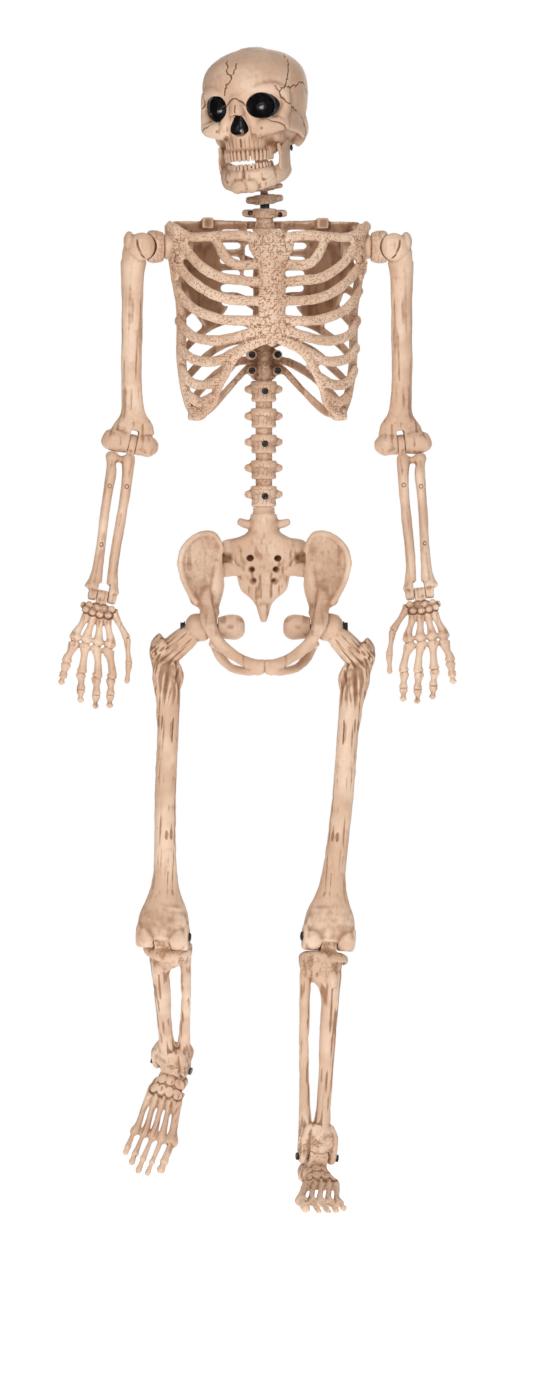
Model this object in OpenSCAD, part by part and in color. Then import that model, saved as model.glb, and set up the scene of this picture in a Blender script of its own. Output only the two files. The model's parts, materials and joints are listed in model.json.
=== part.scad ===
// Posable hanging skeleton figure. Millimetres, +Z up, the figure faces -Y.
// The figure's own right side is at -X and its own left side is at +X.
// The origin is the centre of the hanging eye on the rear rib shell.

/* [View] */
// One part by name, or all of them

/* [Rest pose] */
// Turn of the pelvis at the waist
waist_turn = -4; // [-30:30]
// Forward nod of the neck
neck_nod = 0; // [-20:20]
// Sideways tilt of the head
neck_tilt = -4.5; // [-12:12]
// Turn of the head on the atlas
head_turn = -24; // [-60:60]
// Opening of the lower jaw
jaw_open = 5; // [0:20]
// Swing of the right and left upper arm
arm_swing = [0, 0];
// Spread of the right and left upper arm
arm_raise = [2.6, 2.2];
// Flex of the right and left elbow
elbow_flex = [8, 17];
// Flex of the right and left hip
hip_flex = [0, 0];
// Flex of the right and left knee
knee_flex = [53.2, 0];
// Downward pointing of the right and left foot
foot_point = [10, 14];

/* [Trunk] */
// Half the distance between the shoulder joints
shoulder_half = 166;
// Depth of the shoulder joints
shoulder_y = -50;
// Height of the shoulder joints above the lowest toe
shoulder_z = 1262;
// Middle plane where the two rib shells meet
seam_y = -48;
// Half width of the rib cage at the collar bones
chest_half = 138;
// Half width of the rib cage at its lower corners
chest_low_half = 92;
// Depth from the seam to the front of the breastbone
chest_depth = 78;
// Wall thickness of a rib
rib_thick = 4.2;
// Radius of the spine tube
tube_r = 11;

/* [Head] */
// Half width of the skull
skull_half = 67;
// Half depth of the skull
skull_depth = 84;
// Height of the skull above the atlas
skull_height = 179;
// Wall of the skull mouldings
skull_wall = 4;

/* [Arms] */
// Shoulder hinge to elbow
upper_arm = 259;
// Elbow to wrist
forearm = 206;
// Outward lean of the right and left forearm
carry = [9.2, 3.4];
// Width of the elbow slot
elbow_slot = 10.4;

/* [Legs] */
// Half the distance between the hip cups
hip_half = 87;
// Height of the hip axle above the lowest toe
hip_z = 763;
// Hip axle to knee pin
thigh = 407;
// Outward offset of the knee from the hip cup
knee_out = 22;
// Outward lean of the right and left thigh
thigh_lean = [3.4, -3.4];
// Outward turn of the knee pin
knee_turn = 6.7;
// Knee pin to ankle pin
shin = 289;
// Outward twist of the right and left ankle pin
ankle_twist = [16, 9];
// Width of the knee slot
knee_slot = 22.6;

/* [Joints] */
// Radial clearance of every turning pin
fit = 0.05;
// Radius of the elbow, wrist and neck pins
pin_r = 3;
// Radius of the hip, knee and ankle pins
big_pin_r = 4;
// Radius of the hanging eye
eye_r = 5;

/* [Hidden] */
$fn = 48;
eye_y = 62;
eye_z = 1232;
neck_y = -12;
nod_z = 1307;
tilt_rise = 17.5;
head_rise = 21;
jaw_y = -34;
jaw_z = 44;
skull_y = 22;
waist_z = 913;
hip_y = -10;
seg = 10;
// Heights of the spine blocks that carry a screw
SCREWED = [1073, 1004, 935];
bone_c = [0.86, 0.77, 0.64];
dark_c = [0.12, 0.11, 0.11];

// Side index: 0 is the right side at -X, 1 is the left side at +X.
function sgn(s) = s == 0 ? -1 : 1;
function unit(v) = v / norm(v);
function mix(a, b, t) = a + (b - a) * t;

// A tube of elliptical sections through points [x, y, z, half width, half depth].
// The half width lies along ref x path, the half depth across it.
module limb(p, ref = [0, 1, 0], n = seg) {
    m = len(p);
    c = [for (q = p) [q[0], q[1], q[2]]];
    pts = [for (j = [0 : m - 1])
        let (t = unit(c[min(j + 1, m - 1)] - c[max(j - 1, 0)]),
             u = unit(cross(ref, t)),
             v = cross(t, u))
        for (i = [0 : n - 1])
            let (a = 360 * (i + 0.5) / n)
            c[j] + u * p[j][3] * cos(a) + v * p[j][4] * sin(a)];
    sides = [for (j = [0 : m - 2]) for (i = [0 : n - 1])
        let (a = j * n + i, b = j * n + (i + 1) % n)
        each [[a, a + n, b + n], [a, b + n, b]]];
    low = [[for (i = [0 : n - 1]) i]];
    high = [[for (i = [0 : n - 1]) m * n - 1 - i]];
    polyhedron(points = pts, faces = concat(sides, low, high), convexity = 6);
}

// Lumps moulded as one skin.
module one_skin() {
    resize([0, 0, 0]) union() children();
}

module ball(x, y, z, rx, ry, rz, n = seg) {
    limb([for (k = [-1, -0.9, -0.6, 0, 0.6, 0.9, 1])
        let (w = max(sqrt(1 - k * k), 0.12))
        [x, y, z + rz * k, rx * w, ry * w]], [0, 1, 0], n);
}

module along_x(h, r, x = 0, y = 0, z = 0) {
    translate([x, y, z]) rotate([0, 90, 0]) cylinder(h = h, r = r, center = true);
}

module along_y(h, r, x = 0, y = 0, z = 0) {
    translate([x, y, z]) rotate([90, 0, 0]) cylinder(h = h, r = r, center = true);
}

module box(x, y, z, a, b, c) {
    translate([x, y, z]) cube([a, b, c], center = true);
}

// A pin along X with a domed head at each end.
module headed_pin(length, r, head_r, head_h) {
    along_x(length, r);
    for (e = [-1, 1])
        along_x(head_h, head_r, e * (length / 2 + head_h / 2));
}

// ---- placement of every moving group ----

module at_trunk() {
    translate([0, -eye_y, -eye_z]) children();
}

module at_neck() {
    at_trunk() translate([0, neck_y, nod_z]) rotate([neck_nod, 0, 0]) children();
}

module at_upper_neck() {
    at_neck() translate([0, 0, tilt_rise]) rotate([0, neck_tilt, 0]) children();
}

module at_head() {
    at_upper_neck() translate([0, 0, head_rise]) rotate([0, 0, head_turn]) children();
}

module at_skull() {
    at_head() translate([0, skull_y, 0]) children();
}

module at_jaw() {
    at_skull() translate([0, jaw_y, jaw_z]) rotate([jaw_open, 0, 0]) children();
}

module at_pelvis() {
    at_trunk() translate([0, 0, waist_z]) rotate([0, 0, waist_turn]) children();
}

module sided(s) {
    if (s == 0) mirror([1, 0, 0]) children();
    else children();
}

module at_shoulder(s) {
    at_trunk() translate([sgn(s) * shoulder_half, shoulder_y, shoulder_z])
        rotate([arm_swing[s], 0, 0]) sided(s) children();
}

module at_arm(s) {
    at_shoulder(s) rotate([0, -arm_raise[s], 0]) children();
}

module at_forearm(s) {
    at_arm(s) translate([0, 0, -upper_arm]) rotate([0, -carry[s], 0])
        rotate([-elbow_flex[s], 0, 0]) children();
}

module at_hand(s) {
    at_forearm(s) translate([0, 0, -forearm]) children();
}

module at_thigh(s) {
    at_pelvis() translate([sgn(s) * hip_half, hip_y, hip_z - waist_z])
        rotate([hip_flex[s], 0, 0]) sided(s) children();
}

module at_knee(s) {
    at_thigh(s) rotate([0, -thigh_lean[s], 0]) translate([knee_out, 0, -thigh])
        rotate([0, 0, knee_turn]) rotate([knee_flex[s], 0, 0]) children();
}

module at_ankle(s) {
    at_knee(s) translate([2, 0, -shin]) rotate([0, 0, ankle_twist[s]])
        rotate([foot_point[s], 0, 0]) children();
}

// ---- head ----

// Closed outer skin of the head; grow is negative for the hollow inside it.
module head_skin(grow) {
    w = skull_half + grow;
    d = skull_depth + grow;
    h = skull_height + grow;
    b = 34 - grow;
    limb([[0, -14, b, w * 0.36, d * 0.46], [0, -16, mix(b, h, 0.1), w * 0.5, d * 0.64],
        [0, -18, mix(b, h, 0.17), w * 0.62, d * 0.74], [0, -21, mix(b, h, 0.28), w * 0.84, d * 0.87],
        [0, -25, mix(b, h, 0.42), w * 0.96, d * 0.96],
        [0, -26, mix(b, h, 0.6), w, d], [0, -26, mix(b, h, 0.76), w * 0.92, d * 0.92],
        [0, -26, mix(b, h, 0.88), w * 0.74, d * 0.73], [0, -26, mix(b, h, 0.96), w * 0.48, d * 0.47],
        [0, -26, h, w * 0.2, d * 0.2]], [0, 1, 0], 20);
}

module face_skin(grow) {
    limb([[0, -72, 50 - grow, 29 + grow, 30 + grow], [0, -74, 60, 38 + grow, 32 + grow],
        [0, -72, 72, 50 + grow, 34 + grow], [0, -70, 84, 53 + grow, 34 + grow],
        [0, -66, 100, 55 + grow, 38 + grow], [0, -62, 118, 53 + grow, 42 + grow],
        [0, -58, 128 + grow, 44 + grow, 38 + grow]], [0, 1, 0], 18);
}

module head_shell() {
    difference() {
        one_skin() {
            head_skin(0);
            face_skin(0);
            tooth_row(40.5, 12, 27, 27);
            limb([[0, -68, 42, 27, 34], [0, -69, 54, 30, 34]], [0, 1, 0], 14);
            for (e = [-1, 1]) {
                limb([[e * 42, -82, 70, 7, 9], [e * 56, -66, 72, 6, 9], [e * 58, -44, 71, 6, 12],
                    [e * 57, -20, 70, 6, 12], [e * 52, 4, 69, 7, 12]], [0, 0, 1], 8);
                ball(e * 44, 10, 55, 11, 15, 16);
            }
        }
        one_skin() {
            head_skin(-skull_wall);
            face_skin(-skull_wall);
        }
        for (e = [-1, 1])
            translate([e * 31, -98, 101]) rotate([90, 0, e * 8])
                cylinder(h = 40, r1 = 12, r2 = 18, center = true);
        translate([0, -104, 78]) rotate([90, 0, 0])
            linear_extrude(height = 30, center = true)
            polygon([[-12, -13], [-10, -1], [-4, 12], [4, 12], [10, -1], [12, -13], [5, -12],
                [0, -8], [-5, -12]]);
        translate([0, -skull_y, 20]) cylinder(h = 60, r = 9 + fit);
        along_x(200, 2.5, 0, jaw_y, jaw_z);
    }
    for (e = [-1, 1])
        difference() {
            along_x(14, 7, e * 31, jaw_y, jaw_z);
            along_x(200, 2.5, 0, jaw_y, jaw_z);
        }
    difference() {
        translate([0, -skull_y, 33]) cylinder(h = 14, r = 20);
        translate([0, -skull_y, 20]) cylinder(h = 60, r = 9 + fit);
    }
}

module tooth_row(z, h, d, w) {
    for (k = [-6 : 6])
        let (a = k * 10.5)
        translate([w * sin(a), -72 - d * cos(a), z]) rotate([0, 0, a])
            cube([5.4, 6, h], center = true);
}

module skull_front() {
    color(bone_c) at_skull() difference() {
        head_shell();
        translate([0, 88, 100]) cube([300, 200, 300], center = true);
    }
}

module skull_rear() {
    color(bone_c) at_skull() intersection() {
        head_shell();
        translate([0, 88, 100]) cube([300, 200, 300], center = true);
    }
}

module atlas() {
    color(bone_c) at_head() difference() {
        union() {
            rotate_extrude() polygon([[0, -10], [13, -10], [21, -7], [22, -2], [17, 0], [9, 0],
                [9, 46], [0, 46]]);
            box(0, 0, -5, 54, 12, 7);
        }
        translate([0, 0, -11]) cylinder(h = 32, r = 5 + fit);
    }
}

module jaw() {
    color(bone_c) at_jaw() difference() {
        one_skin() {
            for (e = [-1, 1]) {
                limb([[e * 45, 0, 7, 3.4, 6], [e * 45.4, -1, -4, 3.4, 9],
                    [e * 46, -4, -14, 3.8, 13], [e * 45, -6, -24, 4, 11]], [0, 1, 0], 8);
                limb([[e * 46, -2, -18, 4.2, 8], [e * 42, -22, -23, 5, 10],
                    [e * 33, -44, -28, 6, 12], [e * 17, -62, -32, 6, 14],
                    [0, -68, -33, 6, 15]], [0, 0, 1], 8);
                limb([[e * 46, -10, -8, 3.4, 5], [e * 45, -16, 3, 2.6, 3]], [0, 1, 0], 8);
            }
            ball(0, -69, -40, 17, 8, 9);
            translate([0, -jaw_y, -jaw_z]) tooth_row(29.7, 9, 25, 26);
        }
        along_x(200, 2.5 + fit);
    }
}

module jaw_pin(s) {
    color(dark_c) at_skull() sided(s) {
        along_x(26, 2.5, 39, jaw_y, jaw_z);
        along_x(3, 4.5, 53.4, jaw_y, jaw_z);
    }
}

module jaw_spring(s) {
    color(dark_c) at_skull() sided(s)
        for (k = [0 : 1])
            translate([38.95 + k * 1.6, jaw_y, jaw_z]) rotate([0, 90, 0])
                rotate_extrude() translate([4.4, 0]) circle(r = 0.75);
}

// ---- neck ----

module neck_vertebra_upper() {
    color(bone_c) at_upper_neck() difference() {
        union() {
            translate([0, 0, -6.5]) cylinder(h = 13.5, r = 15);
            cylinder(h = 33, r = 5);
            one_skin() for (e = [-1, 1])
                limb([[e * 4, 0, 0, 7, 5.6], [e * 15, 1, -1, 6, 5.2], [e * 25, 3, -2, 3.5, 3]],
                    [0, 0, 1], 8);
            one_skin() limb([[0, 8, 0, 5, 5.5], [0, 20, -1, 4, 4.4], [0, 28, -3, 2.6, 3]],
                [1, 0, 0], 8);
        }
        box(0, 0, -4, 16.6, 6.4, 16);
        along_y(60, 2, 0, 0, 0);
    }
}

module neck_link() {
    color(dark_c) difference() {
        union() {
            at_neck() {
                along_x(12, 5);
                box(0, 0, 8, 12, 6, 16);
            }
            at_neck() translate([0, 0, tilt_rise]) {
                along_y(6, 3.6);
            }
        }
        at_neck() along_x(40, 2 + fit);
        at_neck() along_y(40, 2 + fit, 0, 0, tilt_rise);
    }
}

module neck_nod_pin() {
    color(dark_c) at_trunk() translate([0, neck_y, nod_z]) headed_pin(36, 2, 3.4, 2);
}

module neck_tilt_pin() {
    color(dark_c) at_upper_neck() along_y(29, 2);
}

module neck_vertebra_lower() {
    color(bone_c) at_trunk() translate([0, neck_y, nod_z]) difference() {
        union() {
            translate([0, 0, -7.5]) cylinder(h = 13.5, r = 16);
            one_skin() for (e = [-1, 1])
                limb([[e * 4, 0, -1, 8, 6.4], [e * 17, 1, -1, 6.5, 6], [e * 29, 4, -1, 4, 4]],
                    [0, 0, 1], 8);
            one_skin() limb([[0, 8, -1, 5.5, 6], [0, 22, -2, 4.5, 5], [0, 32, -5, 3, 3.4]],
                [1, 0, 0], 8);
        }
        box(0, 0, 3.4, 12.2, 13, 18);
        along_x(40.1, 2);
        for (e = [-1, 1])
            along_x(30, 3.5, e * 33, 0, 0);
    }
}

module neck_post() {
    color(bone_c) at_trunk() translate([0, neck_y, 1285]) rotate_extrude()
        polygon([[0, -22], [8, -22], [8, -2], [16, -2], [16, 0], [11.5, 1.5], [11, 14.5], [0, 14.5]]);
}

// ---- rib cage ----

function chest_w(z) = lookup(z, [[1034, chest_low_half], [1070, 107], [1110, 113], [1160, 117],
    [1210, 125], [1250, 128], [1290, chest_half - 10]]);
function chest_d(z) = lookup(z, [[1034, chest_depth * 0.72], [1130, chest_depth * 0.96],
    [1190, chest_depth], [1260, chest_depth * 0.86], [1300, chest_depth * 0.62]]);
function back_d(z) = lookup(z, [[1034, 52], [1110, 74], [1190, 84], [1260, 70], [1300, 40]]);

// Point on the front wall at angle a from the breastbone, and on the rear wall from the spine.
function front_at(a, z) = [chest_w(z) * sin(a), seam_y - chest_d(z) * cos(a), z];
function rear_at(a, z) = [chest_w(z) * sin(a), seam_y + back_d(z) * cos(a), z];

// Front ribs: height at the breastbone, height at the side, half height.
FRONT_RIBS = [[1250, 1262, 6], [1226, 1236, 6], [1201, 1205, 6], [1180, 1170, 6],
    [1163, 1135, 5.5], [1150, 1100, 5.5], [1140, 1066, 5.5]];
REAR_RIBS = [[1272, 1262, 6], [1250, 1236, 6], [1226, 1205, 6], [1200, 1170, 6],
    [1172, 1135, 6], [1142, 1100, 6], [1112, 1066, 6]];

module front_rib(r, e) {
    limb([for (a = [8, 25, 42, 60, 76, 89])
        let (t = sin(a), z = mix(r[0], r[1], t * t) - 6 * sin(2 * a), q = front_at(a, z))
        [e * q[0], min(q[1], seam_y - 0.01), q[2], rib_thick, r[2]]], [0, 0, 1], 6);
}

module rear_rib(r, e) {
    limb([for (a = [3, 22, 40, 58, 76, 89])
        let (t = sin(a), z = mix(r[0], r[1], t * t) + 5 * sin(2 * a), q = rear_at(a, z))
        [e * q[0], max(q[1], seam_y + 0.01), q[2], rib_thick, r[2]]], [0, 0, 1], 6);
}

module rib_cage_front() {
    color(bone_c) at_trunk() difference() {
        one_skin() {
            limb([[0, -106, 1284, 20, 7], [0, -112, 1268, 22, 8], [0, -118, 1248, 14, 8],
                [0, -124, 1215, 16, 8], [0, -126, 1180, 17, 8], [0, -125, 1152, 13, 7],
                [0, -122, 1132, 6, 5]], [0, 1, 0], 10);
            for (e = [-1, 1]) {
                for (r = FRONT_RIBS) front_rib(r, e);
                limb([[e * 14, -110, 1275, 7, 7], [e * 50, -104, 1281, 6, 6],
                    [e * 92, -84, 1286, 6, 6], [e * 118, -66, 1288, 8, 7],
                    [e * 132, -54, 1286, 8, 7]], [0, 0, 1], 8);
                limb([[e * 124, -60, 1288, 8, 7], [e * 119, -74, 1266, 10, 6],
                    [e * 120, -68, 1242, 9, 6], [e * 122, -56, 1218, 6, 6]], [0, 1, 0], 8);
                limb([[e * 126, -54, 1242, 5, 6], [e * 124, -54, 1200, 4, 6], [e * 114, -54, 1150, 4, 6],
                    [e * 110, -54, 1100, 4, 6], [e * 101, -54, 1058, 4, 6]], [0, 1, 0], 8);
                limb([[e * 13, -118, 1148, 5, 6], [e * 34, -116, 1126, 5, 6],
                    [e * 60, -104, 1094, 5, 6], [e * 82, -82, 1058, 5, 7],
                    [e * 92, -58, 1042, 5, 7]], [0, 0, 1], 8);
            }
        }
        translate([0, seam_y + 100, 1180]) cube([400, 200, 400], center = true);
        for (e = [-1, 1])
            along_x(60, 17.3, e * 118, shoulder_y, shoulder_z);
    }
}

module rib_cage_rear() {
    color(bone_c) at_trunk() difference() {
        union() {
            difference() {
                one_skin() {
                    limb([[0, -4, 1285, 13, 14], [0, 12, 1250, 13, 17], [0, 20, 1200, 13, 18],
                        [0, 14, 1150, 14, 20], [0, 8, 1105, 15, 21], [0, 7.6, 1089, 15, 18]],
                        [0, 1, 0], 10);
                    for (e = [-1, 1]) {
                        for (r = REAR_RIBS) rear_rib(r, e);
                        limb([[e * 124, -42, 1286, 7, 7], [e * 126, -42, 1240, 5, 6],
                            [e * 124, -42, 1200, 4, 6], [e * 114, -42, 1150, 4, 6],
                            [e * 110, -42, 1100, 4, 6], [e * 101, -42, 1058, 4, 6]],
                            [0, 1, 0], 8);
                        limb([[e * 10, 2, 1112, 6, 6], [e * 26, -8, 1100, 4.5, 5],
                            [e * 50, -14, 1074, 4.5, 5], [e * 76, -30, 1048, 4.5, 6],
                            [e * 90, -44, 1042, 4.5, 6]], [0, 0, 1], 8);
                        limb([[e * 66, 28, 1150, 5, 3], [e * 70, 29, 1170, 16, 5],
                            [e * 78, 23, 1210, 30, 5.5], [e * 84, 14, 1250, 38, 6],
                            [e * 90, 2, 1282, 36, 6], [e * 92, -5, 1293, 30, 6]],
                            [0, 1, 0], 10);
                        limb([[e * 54, 26, 1256, 7, 7], [e * 90, 14, 1274, 7, 8],
                            [e * 114, -18, 1287, 8, 7], [e * 125, -38, 1286, 8, 6]],
                            [0, 0, 1], 8);
                    }
                }
                translate([0, seam_y - 100, 1180]) cube([400, 200, 400], center = true);
            }
            for (e = [-1, 1]) {
                along_x(37.8, 17, e * 117, shoulder_y, shoulder_z);
                box(e * 117, -30, shoulder_z, 36, 40, 26);
            }
            for (z = [1121, 1100]) for (e = [-1, 1])
                along_y(28, 6.5, e * 17, -2, z);
            box(0, 46, eye_z, 10, 40, 20);
            along_x(10, 10, 0, eye_y, eye_z);
            translate([0, neck_y, 1262]) cylinder(h = 21, r = 14);
        }
        for (e = [-1, 1])
            along_x(60, 6 + fit, e * 118, shoulder_y, shoulder_z);
        along_x(40, eye_r, 0, eye_y, eye_z);
        translate([0, 0, 1060]) cylinder(h = 90, r = tube_r + 0.02);
        translate([0, neck_y, 1240]) cylinder(h = 60, r = 8.02);
        translate([0, neck_y, 1283]) cylinder(h = 30, r = 17);
        for (z = [1121, 1100]) for (e = [-1, 1])
            along_y(12, 2.5, e * 17, -11, z);
    }
}

module screw_y(h, r, head) {
    along_y(h, r, 0, h / 2, 0);
    along_y(2.4, head, 0, -1.2, 0);
}

module rib_cage_screws() {
    color(dark_c) at_trunk() for (z = [1121, 1100]) for (e = [-1, 1])
        translate([e * 17, -16, z]) screw_y(10, 2.5, 5);
}

// ---- lower spine ----

module spine_tube() {
    color(bone_c) at_trunk() difference() {
        union() {
            translate([0, 0, waist_z - 30]) cylinder(h = 31, r = 9);
            translate([0, 0, waist_z]) cylinder(h = 230, r = tube_r);
        }
        translate([0, 0, waist_z - 40]) cylinder(h = 300, r = 6);
        for (z = SCREWED)
            along_y(20, 2.5, 0, -10, z);
    }
}

// A block of the lower spine: middle height, half height, screw hole or not.
module spine_block(z, h, screwed) {
    color(bone_c) at_trunk() translate([0, 0, z]) difference() {
        union() {
            rotate_extrude() polygon([[0, -h], [16, -h], [17.5, -h + 3], [15.5, 0],
                [17.5, h - 3], [16, h], [0, h]]);
            one_skin() for (e = [-1, 1])
                limb([[e * 12, 4, 1, 5, 5], [e * 20, 6, 1, 4, 4], [e * 25, 8, 2, 3, 3]],
                    [0, 0, 1], 8);
            one_skin() limb([[0, 12, 0, 5, 7], [0, 26, -3, 3.4, 6], [0, 34, -5, 2.6, 4]],
                [1, 0, 0], 8);
        }
        cylinder(h = 60, r = tube_r + fit, center = true);
        if (screwed) {
            along_y(20, 2.5 + fit, 0, -14, 0);
            along_y(10, 4.8, 0, -20.7, 0);
        }
    }
}

module vertebra_t12() {
    spine_block(1073, 13.8, true);
}

module vertebra_l1() {
    spine_block(1038, 13, false);
}

module vertebra_l2() {
    spine_block(1004, 12.5, true);
}

module vertebra_l3() {
    spine_block(970, 12.5, false);
}

module vertebra_l4() {
    spine_block(935, 14, true);
}

module vertebra_screws() {
    color(dark_c) at_trunk() for (z = SCREWED)
        translate([0, -15.7, z]) {
            along_y(3, 4.6, 0, -1.5, 0);
            along_y(6.4, 2.5, 0, 3.2, 0);
        }
}

module waist_collar() {
    color(bone_c) at_trunk() translate([0, 0, waist_z]) difference() {
        rotate_extrude() polygon([[0, 0.05], [14, 0.05], [15, 1.4], [13.6, 2.8], [15, 4.2],
            [13.6, 5.6], [14, 7.6], [0, 7.6]]);
        cylinder(h = 30, r = tube_r + 0.02, center = true);
    }
}

// ---- pelvis ----

module sacrum() {
    color(bone_c) at_pelvis() difference() {
        union() {
            one_skin() {
                limb([[0, 0, 0, 18, 17], [0, 0, -14, 19, 17], [0, 2, -30, 26, 16],
                    [0, 8, -60, 27, 14], [0, 14, -90, 27, 11], [0, 20, -108, 24, 9],
                    [0, 22, -122, 11, 7], [0, 18, -142, 5, 4]], [0, 1, 0], 12);
                for (e = [-1, 1]) {
                    limb([[e * 14, 0, -14, 7, 6], [e * 27, 0, -14, 5, 5],
                        [e * 36, 2, -10, 3, 3.6]], [0, 0, 1], 8);
                    limb([[e * 18, 6, -44, 9, 14], [e * 40, 10, -48, 7, 12],
                        [e * 53, 12, -50, 4, 9]], [0, 0, 1], 8);
                }
            }
        }
        translate([0, 0, -40]) cylinder(h = 60, r = 9 + fit);
        for (e = [-1, 1]) {
            for (k = [0 : 2])
                along_y(60, 4.4, e * (18 - k), 10, -61 - 14 * k);
            along_x(10, 4, e * 27.4, 11, -74);
        }
    }
}

module hip_bone(s) {
    color(bone_c) at_pelvis() translate([0, hip_y, hip_z - waist_z]) sided(s) difference() {
        union() {
            one_skin() {
                limb([[70, 2, 22, 11, 14], [67, 0, 10, 9, 20], [66, 0, 0, 4.6, 22],
                    [66, 0, -12, 5, 19], [66, -2, -22, 7, 12]], [0, 1, 0], 12);
                limb([[66, -8, -16, 8, 7], [48, -26, -28, 7, 7], [26, -40, -42, 7, 7],
                    [8, -46, -50, 8, 9], [0, -47, -50, 8, 10]], [0, 0, 1], 8);
                limb([[66, 6, -18, 7, 7], [62, 10, -34, 7, 7], [54, 4, -50, 7, 7],
                    [40, -14, -58, 6, 6], [22, -34, -60, 6, 6], [8, -44, -56, 7, 7]],
                    [0, 1, 0], 8);
                limb([[62, 8, 84, 8, 9], [62, 8, 66, 9, 10], [66, 6, 46, 10, 11],
                    [70, 3, 26, 10, 13]], [0, 1, 0], 8);
                limb([[62, 4, 104, 5, 5], [70, -2, 122, 6, 6], [86, -14, 121, 6, 6],
                    [106, -26, 102, 6, 6], [109, -28, 80, 5, 6]], [0, 0, 1], 8);
                translate([0, 42, 0]) rotate([0, 0, -33]) rotate([90, 0, 0])
                    linear_extrude(height = 7, center = true)
                    polygon([[70, 100], [72, 116], [80, 124], [104, 120], [128, 102], [132, 80],
                        [122, 60], [108, 34], [84, 22], [70, 30], [63, 50], [64, 78]]);
                limb([[66, 10, 74, 9, 9], [48, 18, 76, 6, 9], [27.6, 21, 76, 6, 9]],
                    [0, 0, 1], 8);
            }
            along_x(8, 4, 26.5, 21, 76);
        }
        along_x(80, big_pin_r + fit, 60, 0, 0);
        along_x(60, 17.4, 31, 0, 0);
        along_x(40, 30, 91.2, 0, 0);
        box(-50, 0, 0, 100, 200, 300);
    }
}

module hip_knob(s) {
    color(bone_c) at_pelvis() translate([0, hip_y, hip_z - waist_z]) sided(s) difference() {
        translate([25, 0, 0]) rotate([0, 90, 0]) rotate_extrude()
            polygon([[0, 0], [10, 0], [15, 4], [16.8, 10], [16.8, 30], [14, 35.9], [0, 35.9]]);
        along_x(80, big_pin_r, 75, 0, 0);
    }
}

module hip_bolt(s) {
    color(dark_c) at_pelvis() translate([0, hip_y, hip_z - waist_z]) sided(s) {
        translate([35.2, 0, 0]) rotate([0, 90, 0]) cylinder(h = 69, r = big_pin_r);
        translate([103.6, 0, 0]) rotate([0, 90, 0]) cylinder(h = 1.6, r = 8);
        translate([105, 0, 0]) rotate([0, 90, 0]) cylinder(h = 5, r = 6.4, $fn = 6);
    }
}

module femur(s) {
    lean = thigh_lean[s];
    color(bone_c) at_thigh(s) difference() {
        union() {
            translate([-15.5, 0, 0]) rotate([0, 90, 0]) rotate_extrude()
                polygon([[0, 0], [15, 0], [18, 3], [18.4, 10], [18, 22], [15, 29], [9, 32], [0, 32]]);
            rotate([0, -lean, 0]) one_skin() {
                limb([[4, 0, -8, 11, 13], [16, 2, -20, 11, 13], [34, 4, -34, 13, 14],
                    [44, 4, -46, 12, 13]], [0, 1, 0], 10);
                limb([[46, 6, -12, 7, 9], [48, 6, -22, 11, 13], [46, 4, -40, 12, 14],
                    [40, 2, -62, 14, 14], [34, 0, -84, 13.5, 14], [32.6, -2, -110, 13, 13.5],
                    [31, -4, -160, 12.6, 13], [29.6, -5, -220, 12.6, 13],
                    [26, -4, -290, 13.4, 13.5], [23.4, -2, -330, 16, 15],
                    [22.4, 0, -356, 22, 17], [22, 0, -376, 31, 20], [22, 0, -392, 34, 21],
                    [22, 0, -402, 33, 18]], [0, 1, 0], 12);
                limb([[20, 4, -44, 6, 6], [8, 8, -60, 7, 7], [16, 6, -82, 7, 7],
                    [24, 2, -94, 6, 6]], [0, 1, 0], 8);
            }
            rotate([0, -lean, 0]) translate([knee_out, 0, -thigh]) rotate([0, 0, knee_turn]) {
                for (e = [-1, 1])
                    along_x(23.4, 17.5, e * 23);
            }
        }
        along_x(80, big_pin_r + fit);
        along_x(12, 9.5, 22.5);
        rotate([0, -lean, 0]) translate([knee_out, 0, -thigh]) rotate([0, 0, knee_turn]) {
            box(0, 0, -4, knee_slot, 70, 48);
            along_x(90, big_pin_r);
        }
    }
}

module knee_pin(s) {
    color(dark_c) at_thigh(s) rotate([0, -thigh_lean[s], 0])
        translate([knee_out, 0, -thigh]) rotate([0, 0, knee_turn]) {
            along_x(70, big_pin_r);
            along_x(2.6, 6.4, -36.1);
        }
}

module shin_bone(s) {
    color(bone_c) at_knee(s) difference() {
        union() {
            one_skin() {
                limb([[-5, 2, -21.5, 32, 21], [-5, 2, -28, 34, 23], [-5, 1, -36, 33, 22],
                    [-1, 0, -46, 24, 17], [4, -1, -60, 16, 14], [6.6, -2, -80, 12.4, 12.5],
                    [6.6, -2, -120, 11, 12], [6.6, -1, -180, 10, 11], [6.4, 0, -230, 10, 10.5],
                    [5, 0, -252, 13, 12], [2, 0, -262, 22, 14]], [0, 1, 0], 10);
                limb([[-22, 2, -34, 8, 9], [-27, 3, -50, 6.5, 7], [-26, 4, -90, 6, 6],
                    [-23, 5, -150, 5.6, 6], [-19, 5, -205, 6, 6], [-16, 3, -250, 8, 8],
                    [-15, 0, -266, 9, 10]], [0, 1, 0], 8);
                translate([2, 0, -shin]) rotate([0, 0, ankle_twist[s]])
                    for (e = [-1, 1])
                        limb([[e * 18, 0, 34, 7, 12], [e * 19.5, 0, 16, 6.6, 12],
                            [e * 19.6, 0, 0, 6.2, 11], [e * 19.6, 0, -9, 5, 7]],
                            [0, 1, 0], 8);
            }
            along_x(22, 14);
            box(0, 0, -16, 22, 22, 16);
        }
        along_x(60, big_pin_r + fit);
        translate([2, 0, -shin]) rotate([0, 0, ankle_twist[s]]) {
            along_x(70, pin_r);
            box(0, 0, 3, 26.4, 60, 34);
        }
    }
}

module ankle_pin(s) {
    color(dark_c) at_knee(s) translate([2, 0, -shin]) rotate([0, 0, ankle_twist[s]])
        headed_pin(51.6, pin_r, 5, 2.6);
}

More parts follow.
